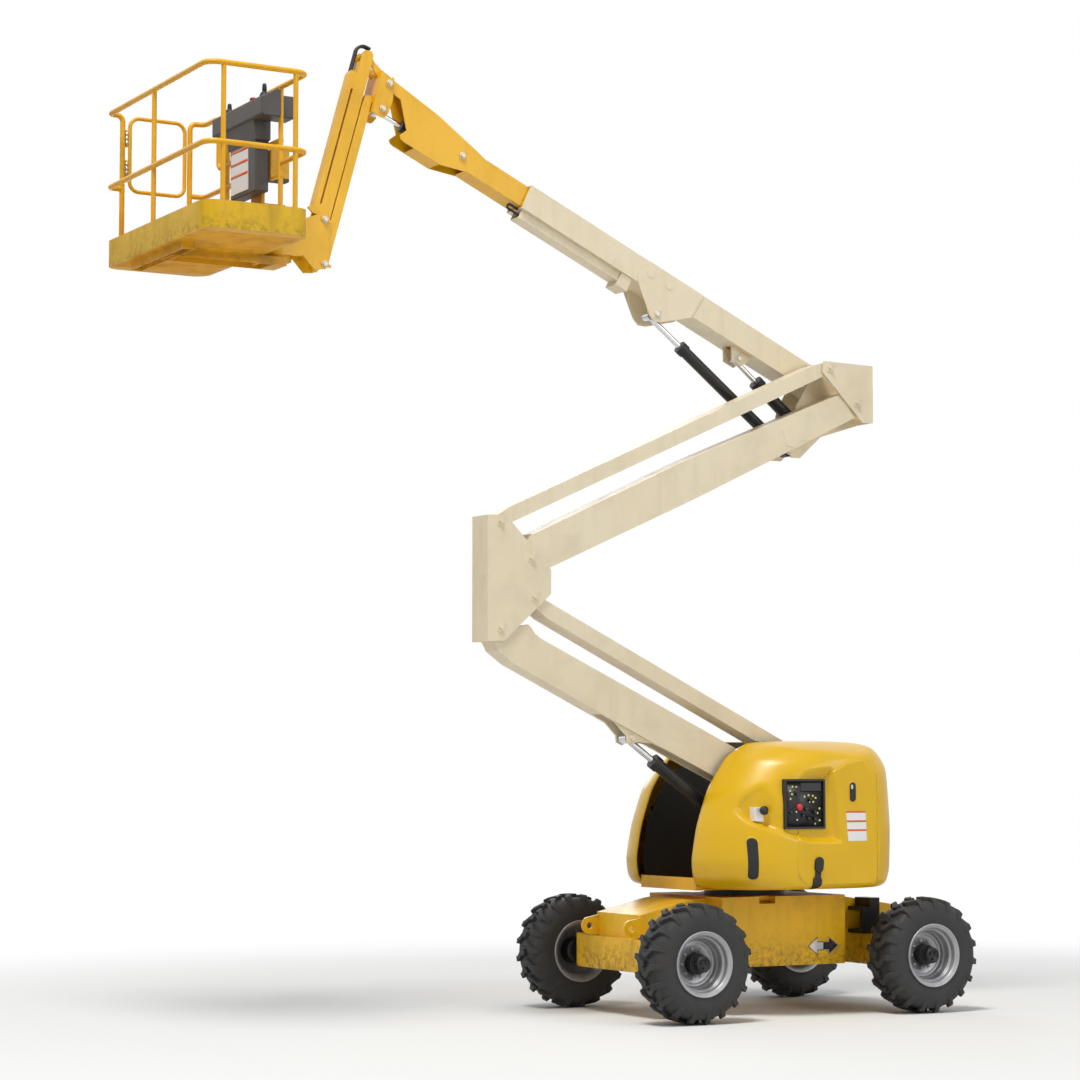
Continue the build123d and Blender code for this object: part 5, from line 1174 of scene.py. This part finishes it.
stop = turned(
    "stop", [(0.0, 0.017), (0.014, 0.017), (0.016, 0.024), (0.028, 0.024), (0.033, 0.019), (0.034, 0.0)],
    on_panel(-0.058, -0.021), red_cap, 40)
controls = joined("ground_controls", [*bits, stop])
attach(controls, "hood_left_body")
for pattern in (small_mark, pale_mark, selector):
    bpy.data.objects.remove(pattern)
switch_y = find_skin["left"](0.385, 1.455)
switch_box = slab(
    "switch_box", [(0.345, 1.402), (0.422, 1.408), (0.428, 1.510), (0.351, 1.508)], switch_y - 0.03,
    switch_y + 0.040, white_label, bevel=0.006)
switch_stem = [(0.0, 0.012), (0.020, 0.012), (0.022, 0.030), (0.044, 0.033), (0.052, 0.026), (0.053, 0.0)]
switch_knob = turned("switch_knob", switch_stem, (0.368, switch_y + 0.038, 1.486), black_plastic, 36)
power_switch = joined("power_switch", [switch_box, switch_knob])
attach(power_switch, "hood_left_body")
print("marks", len(marks))

# %% [markdown]
# ## Pins and bolts
# Each joint pin of the jib is held by a bolt with a thick washer. They are
# zinc plated steel on the real machine and stand out from the yellow paint.
# The solids have the heads, so each cap is modelled just over its head.

# %% Cap the bolts of the jib and the boom
# Body that carries the pin, its place (x, z), the plate's outer face and how far the head stands out.
BOLTS = [
    ("lower_arm_body", (1.1681, 2.0026), 0.304, 0.0221), (
        "base_boom_body", (0.8219, 5.1423), 0.1205, 0.0151),
    ("base_boom_body", (0.0656, 4.8687), 0.062, 0.0221), ("fly_boom_body", (2.4392, 6.1617), 0.090, 0.0221),
    ("jib_knuckle_body", (3.0315, 6.6158), 0.108, 0.0221), (
        "jib_knuckle_body", (3.0845, 6.4258), 0.108, 0.0221),
    ("jib_bracket_body", (3.5220, 5.5950), 0.096, 0.0221), (
        "jib_bracket_body", (3.5220, 5.2810), 0.096, 0.0221),
]
HEAD_RADIUS = 0.0182
WASHER_RADIUS = 0.0248


def steel_bolt(place, face, stand):
    """A hexagon head with its washer over a pin's end."""
    x, z = place
    corners = [
        (x + HEAD_RADIUS * math.cos(math.pi * i / 3), z + HEAD_RADIUS * math.sin(math.pi * i / 3))
        for i in range(6)]
    head = slab("head", corners, face + 0.004, face + stand, bolt_steel, bevel=0.0025)
    washer = turned(
        "washer",
        [
            (0.0052, 0.012), (0.0052, WASHER_RADIUS), (0.0084, WASHER_RADIUS),
            (0.0092, WASHER_RADIUS - 0.001), (0.0092, 0.012)],
        (x, face, z), bolt_steel, 40)
    return [head, washer]


for number, (body, place, face, stand) in enumerate(BOLTS):
    bolt = joined(f"pin_bolt_{number + 1}", steel_bolt(place, face, stand))
    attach(bolt, body)
print("bolts", len(BOLTS))

# %% [markdown]
# ## Platform console
# The control box is moulded grey plastic on a sheet column behind the
# operator's rail. It has two black joysticks with rubber boots, a stop
# button, a blank warning plate on the column and a document box with a
# yellow lid on the side.

# %% Mould the console
CONSOLE_BACK = 4.040
CONSOLE_FRONT = 4.185


def joystick(x, y, foot, top):
    """A rubber boot, a stem and a grip on the console's sloping top."""
    boot = turned("boot", [
        (-0.006, 0.034), (0.004, 0.034), (0.008, 0.029), (0.013, 0.030), (0.018, 0.024), (0.023, 0.024),
        (0.030, 0.014), (0.034, 0.010)],
                  (x, y, foot), seal_black, 32, axis="Z")
    stem = turned(
        "stem", [(0.028, 0.0), (0.028, 0.007), (top - foot - 0.055, 0.007)], (x, y, foot), chrome_rod, 20,
        axis="Z")
    length = top - foot
    grip_rows = [
        (length - 0.062, 0.008), (length - 0.060, 0.013), (length - 0.045, 0.0165),
        (length - 0.016, 0.0150), (length - 0.004, 0.0125), (length, 0.007), (length, 0.0)]
    grip = turned("grip", grip_rows, (x, y, foot), seal_black, 28, axis="Z")
    return [boot, stem, grip]


def box_slab(name, x, y, z, finish, bevel):
    """A block from three (low, high) pairs with rounded edges."""
    return slab(
        name, [(x[0], z[0]), (x[1], z[0]), (x[1], z[1]), (x[0], z[1])], y[0], y[1], finish, bevel=bevel)


head = slab("head", [
    (CONSOLE_BACK, 6.180), (CONSOLE_BACK, 6.372), (CONSOLE_BACK + 0.040, 6.368), (CONSOLE_FRONT, 6.312),
    (CONSOLE_FRONT, 6.190), (CONSOLE_FRONT - 0.020, 6.180)], -0.360, 0.500, grey_plastic, bevel=0.010, segments=4)
under = slab("under", [
    (CONSOLE_BACK, 6.186), (CONSOLE_BACK, 6.050), (CONSOLE_FRONT - 0.040, 6.050),
    (CONSOLE_FRONT - 0.012, 6.186)],
    -0.160, 0.330, grey_plastic, bevel=0.008)
column = slab("column", [
    (CONSOLE_BACK, 6.056), (CONSOLE_BACK, 5.700), (CONSOLE_BACK + 0.100, 5.700),
    (CONSOLE_FRONT - 0.040, 6.056)],
    -0.130, 0.300, grey_plastic, bevel=0.012, segments=4)
BAND_LOWS = (6.012, 5.926, 5.842)
BAND_HEIGHT = 0.020
EDGE_MARK_PLACES = (-0.30, -0.24, -0.18, -0.09, -0.03, 0.03, 0.09, 0.20, 0.26, 0.32)
EDGE_MARK_WIDTH = 0.024


def upright_sheet(name, sides, heights, low_x, high_x, finish, bevel):
    """A thin sheet across the machine from (low, high) pairs of y and z."""
    (left, right), (low, high) = sides, heights
    outline = [(left, low), (right, low), (right, high), (left, high)]
    return slab(name, outline, low_x, high_x, finish, plane="YZ", bevel=bevel)


label = upright_sheet("label", (-0.105, 0.185), (5.730, 6.034), 4.1380, 4.1468, white_label, 0.0008)
label_bands = [
    upright_sheet(
        "label_band", (-0.104, 0.184), (low, low + BAND_HEIGHT), 4.1462, 4.1472, orange_label, 0.0)
    for low in BAND_LOWS]
edge_marks = [
    box_slab(
        "edge_mark", (4.0405, 4.0500), (y, y + EDGE_MARK_WIDTH), (6.3690, 6.3728), bright_button, 0.0006)
    for y in EDGE_MARK_PLACES]
stop_button = turned("stop_button", [
    (-0.004, 0.030), (0.004, 0.030), (0.006, 0.016), (0.012, 0.016), (0.013, 0.024), (0.024, 0.024),
    (0.029, 0.018), (0.030, 0.0)],
                     (4.095, 0.150, 6.348), red_cap, 36, axis="Z")
console_bits = [head, under, column, label, *label_bands, *edge_marks, stop_button]
console_bits += joystick(4.130, 0.418, 6.330, 6.416) + joystick(4.130, -0.178, 6.330, 6.399)
moulded_console = joined("moulded_console", console_bits)
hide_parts("console")
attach(moulded_console, "platform")
tray = box_slab("tray", (3.868, 4.034), (0.180, 0.260), (5.790, 6.000), grey_plastic, 0.008)
lid = box_slab("lid", (3.872, 4.020), (0.258, 0.2665), (5.812, 6.004), yellow_paint, 0.003)
cover = box_slab("cover", (3.885, 4.036), (0.225, 0.380), (6.205, 6.362), grey_plastic, 0.012)
document_box = joined("document_box", [tray, lid, cover])
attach(document_box, "platform")
print("console faces", len(moulded_console.data.polygons))

# %% [markdown]
# ## Gate hinges
# Two bare steel spring hinges carry the gate. Each is a rolled barrel in
# three knuckles with a flat leaf to the post and another to the gate.

# %% Roll the hinges
HINGE_X = 4.614
HINGE_Y = -0.8857
HINGE_HEIGHTS = ((5.971, 6.069), (6.187, 6.286))
HINGE_END = 0.003
KNUCKLES = 3
for number, (low, high) in enumerate(HINGE_HEIGHTS):
    reach = high - low
    rolled = reach - 2 * HINGE_END
    barrel_rows = [(HINGE_END, 0.0)]
    for knuckle in range(KNUCKLES):
        start = HINGE_END + knuckle * rolled / KNUCKLES
        stop = HINGE_END + (knuckle + 1) * rolled / KNUCKLES
        barrel_rows += [(start, 0.0095), (start + 0.0015, 0.0122), (stop - 0.0015, 0.0122), (stop, 0.0095)]
    barrel_rows.append((reach - HINGE_END, 0.0))
    barrel = turned("barrel", barrel_rows, (HINGE_X, HINGE_Y, low), hinge_steel, 40, axis="Z")
    leaf = box_slab(
        "leaf", (HINGE_X - 0.034, HINGE_X - 0.008), (HINGE_Y - 0.0042, HINGE_Y + 0.0042),
        (low + 0.005, high - 0.005), hinge_steel, 0.0015)
    hinge = joined(f"gate_hinge_{number + 1}", [barrel, leaf])
    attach(hinge, "gate_body")
print("hinges ready")

# %% [markdown]
# ## Travel arrow
# A two-headed arrow on the frame's side shows which way the machine drives:
# its front half is white and its rear half black, with a thin dark line
# round it. It is a printed film, so it is thin and follows the plate.

# %% Lay the arrow on the frame
ARROW_X = -0.362
ARROW_Z = 0.485
frame_skin = skin_finder(nodes["chassis_frame"], 1)(ARROW_X, ARROW_Z)


def half_arrow(direction, grow):
    """Outline of one half of the arrow, towards the front (1) or the rear (-1), grown by a border."""
    length, neck, shaft, barb = 0.129 + grow * 1.6, 0.052, 0.027 + grow, 0.060 + grow * 2.0
    spots = [
        (0.0, -shaft), (neck, -shaft), (neck - grow, -barb), (length, 0.0), (neck - grow, barb),
        (neck, shaft), (0.0, shaft)]
    return [(ARROW_X + direction * a, ARROW_Z + b) for a, b in spots]


# Film: name, direction, border, height over the frame's side, finish.
FILMS = [
    ("line", 1, 0.005, 0.0006, seal_black), ("line", -1, 0.005, 0.0006, seal_black),
    ("white_half", 1, 0.0, 0.0012, white_label), ("pale_line", -1, 0.0025, 0.0009, white_label),
    ("black_half", -1, 0.0, 0.0012, seal_black)]
film = [
    slab(name, half_arrow(direction, border), frame_skin - 0.001, frame_skin + height, finish, bevel=0.0)
    for name, direction, border, height, finish in FILMS]
travel_arrow = joined("travel_arrow", film)
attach(travel_arrow, "chassis")
print("frame side at", round(frame_skin, 4))
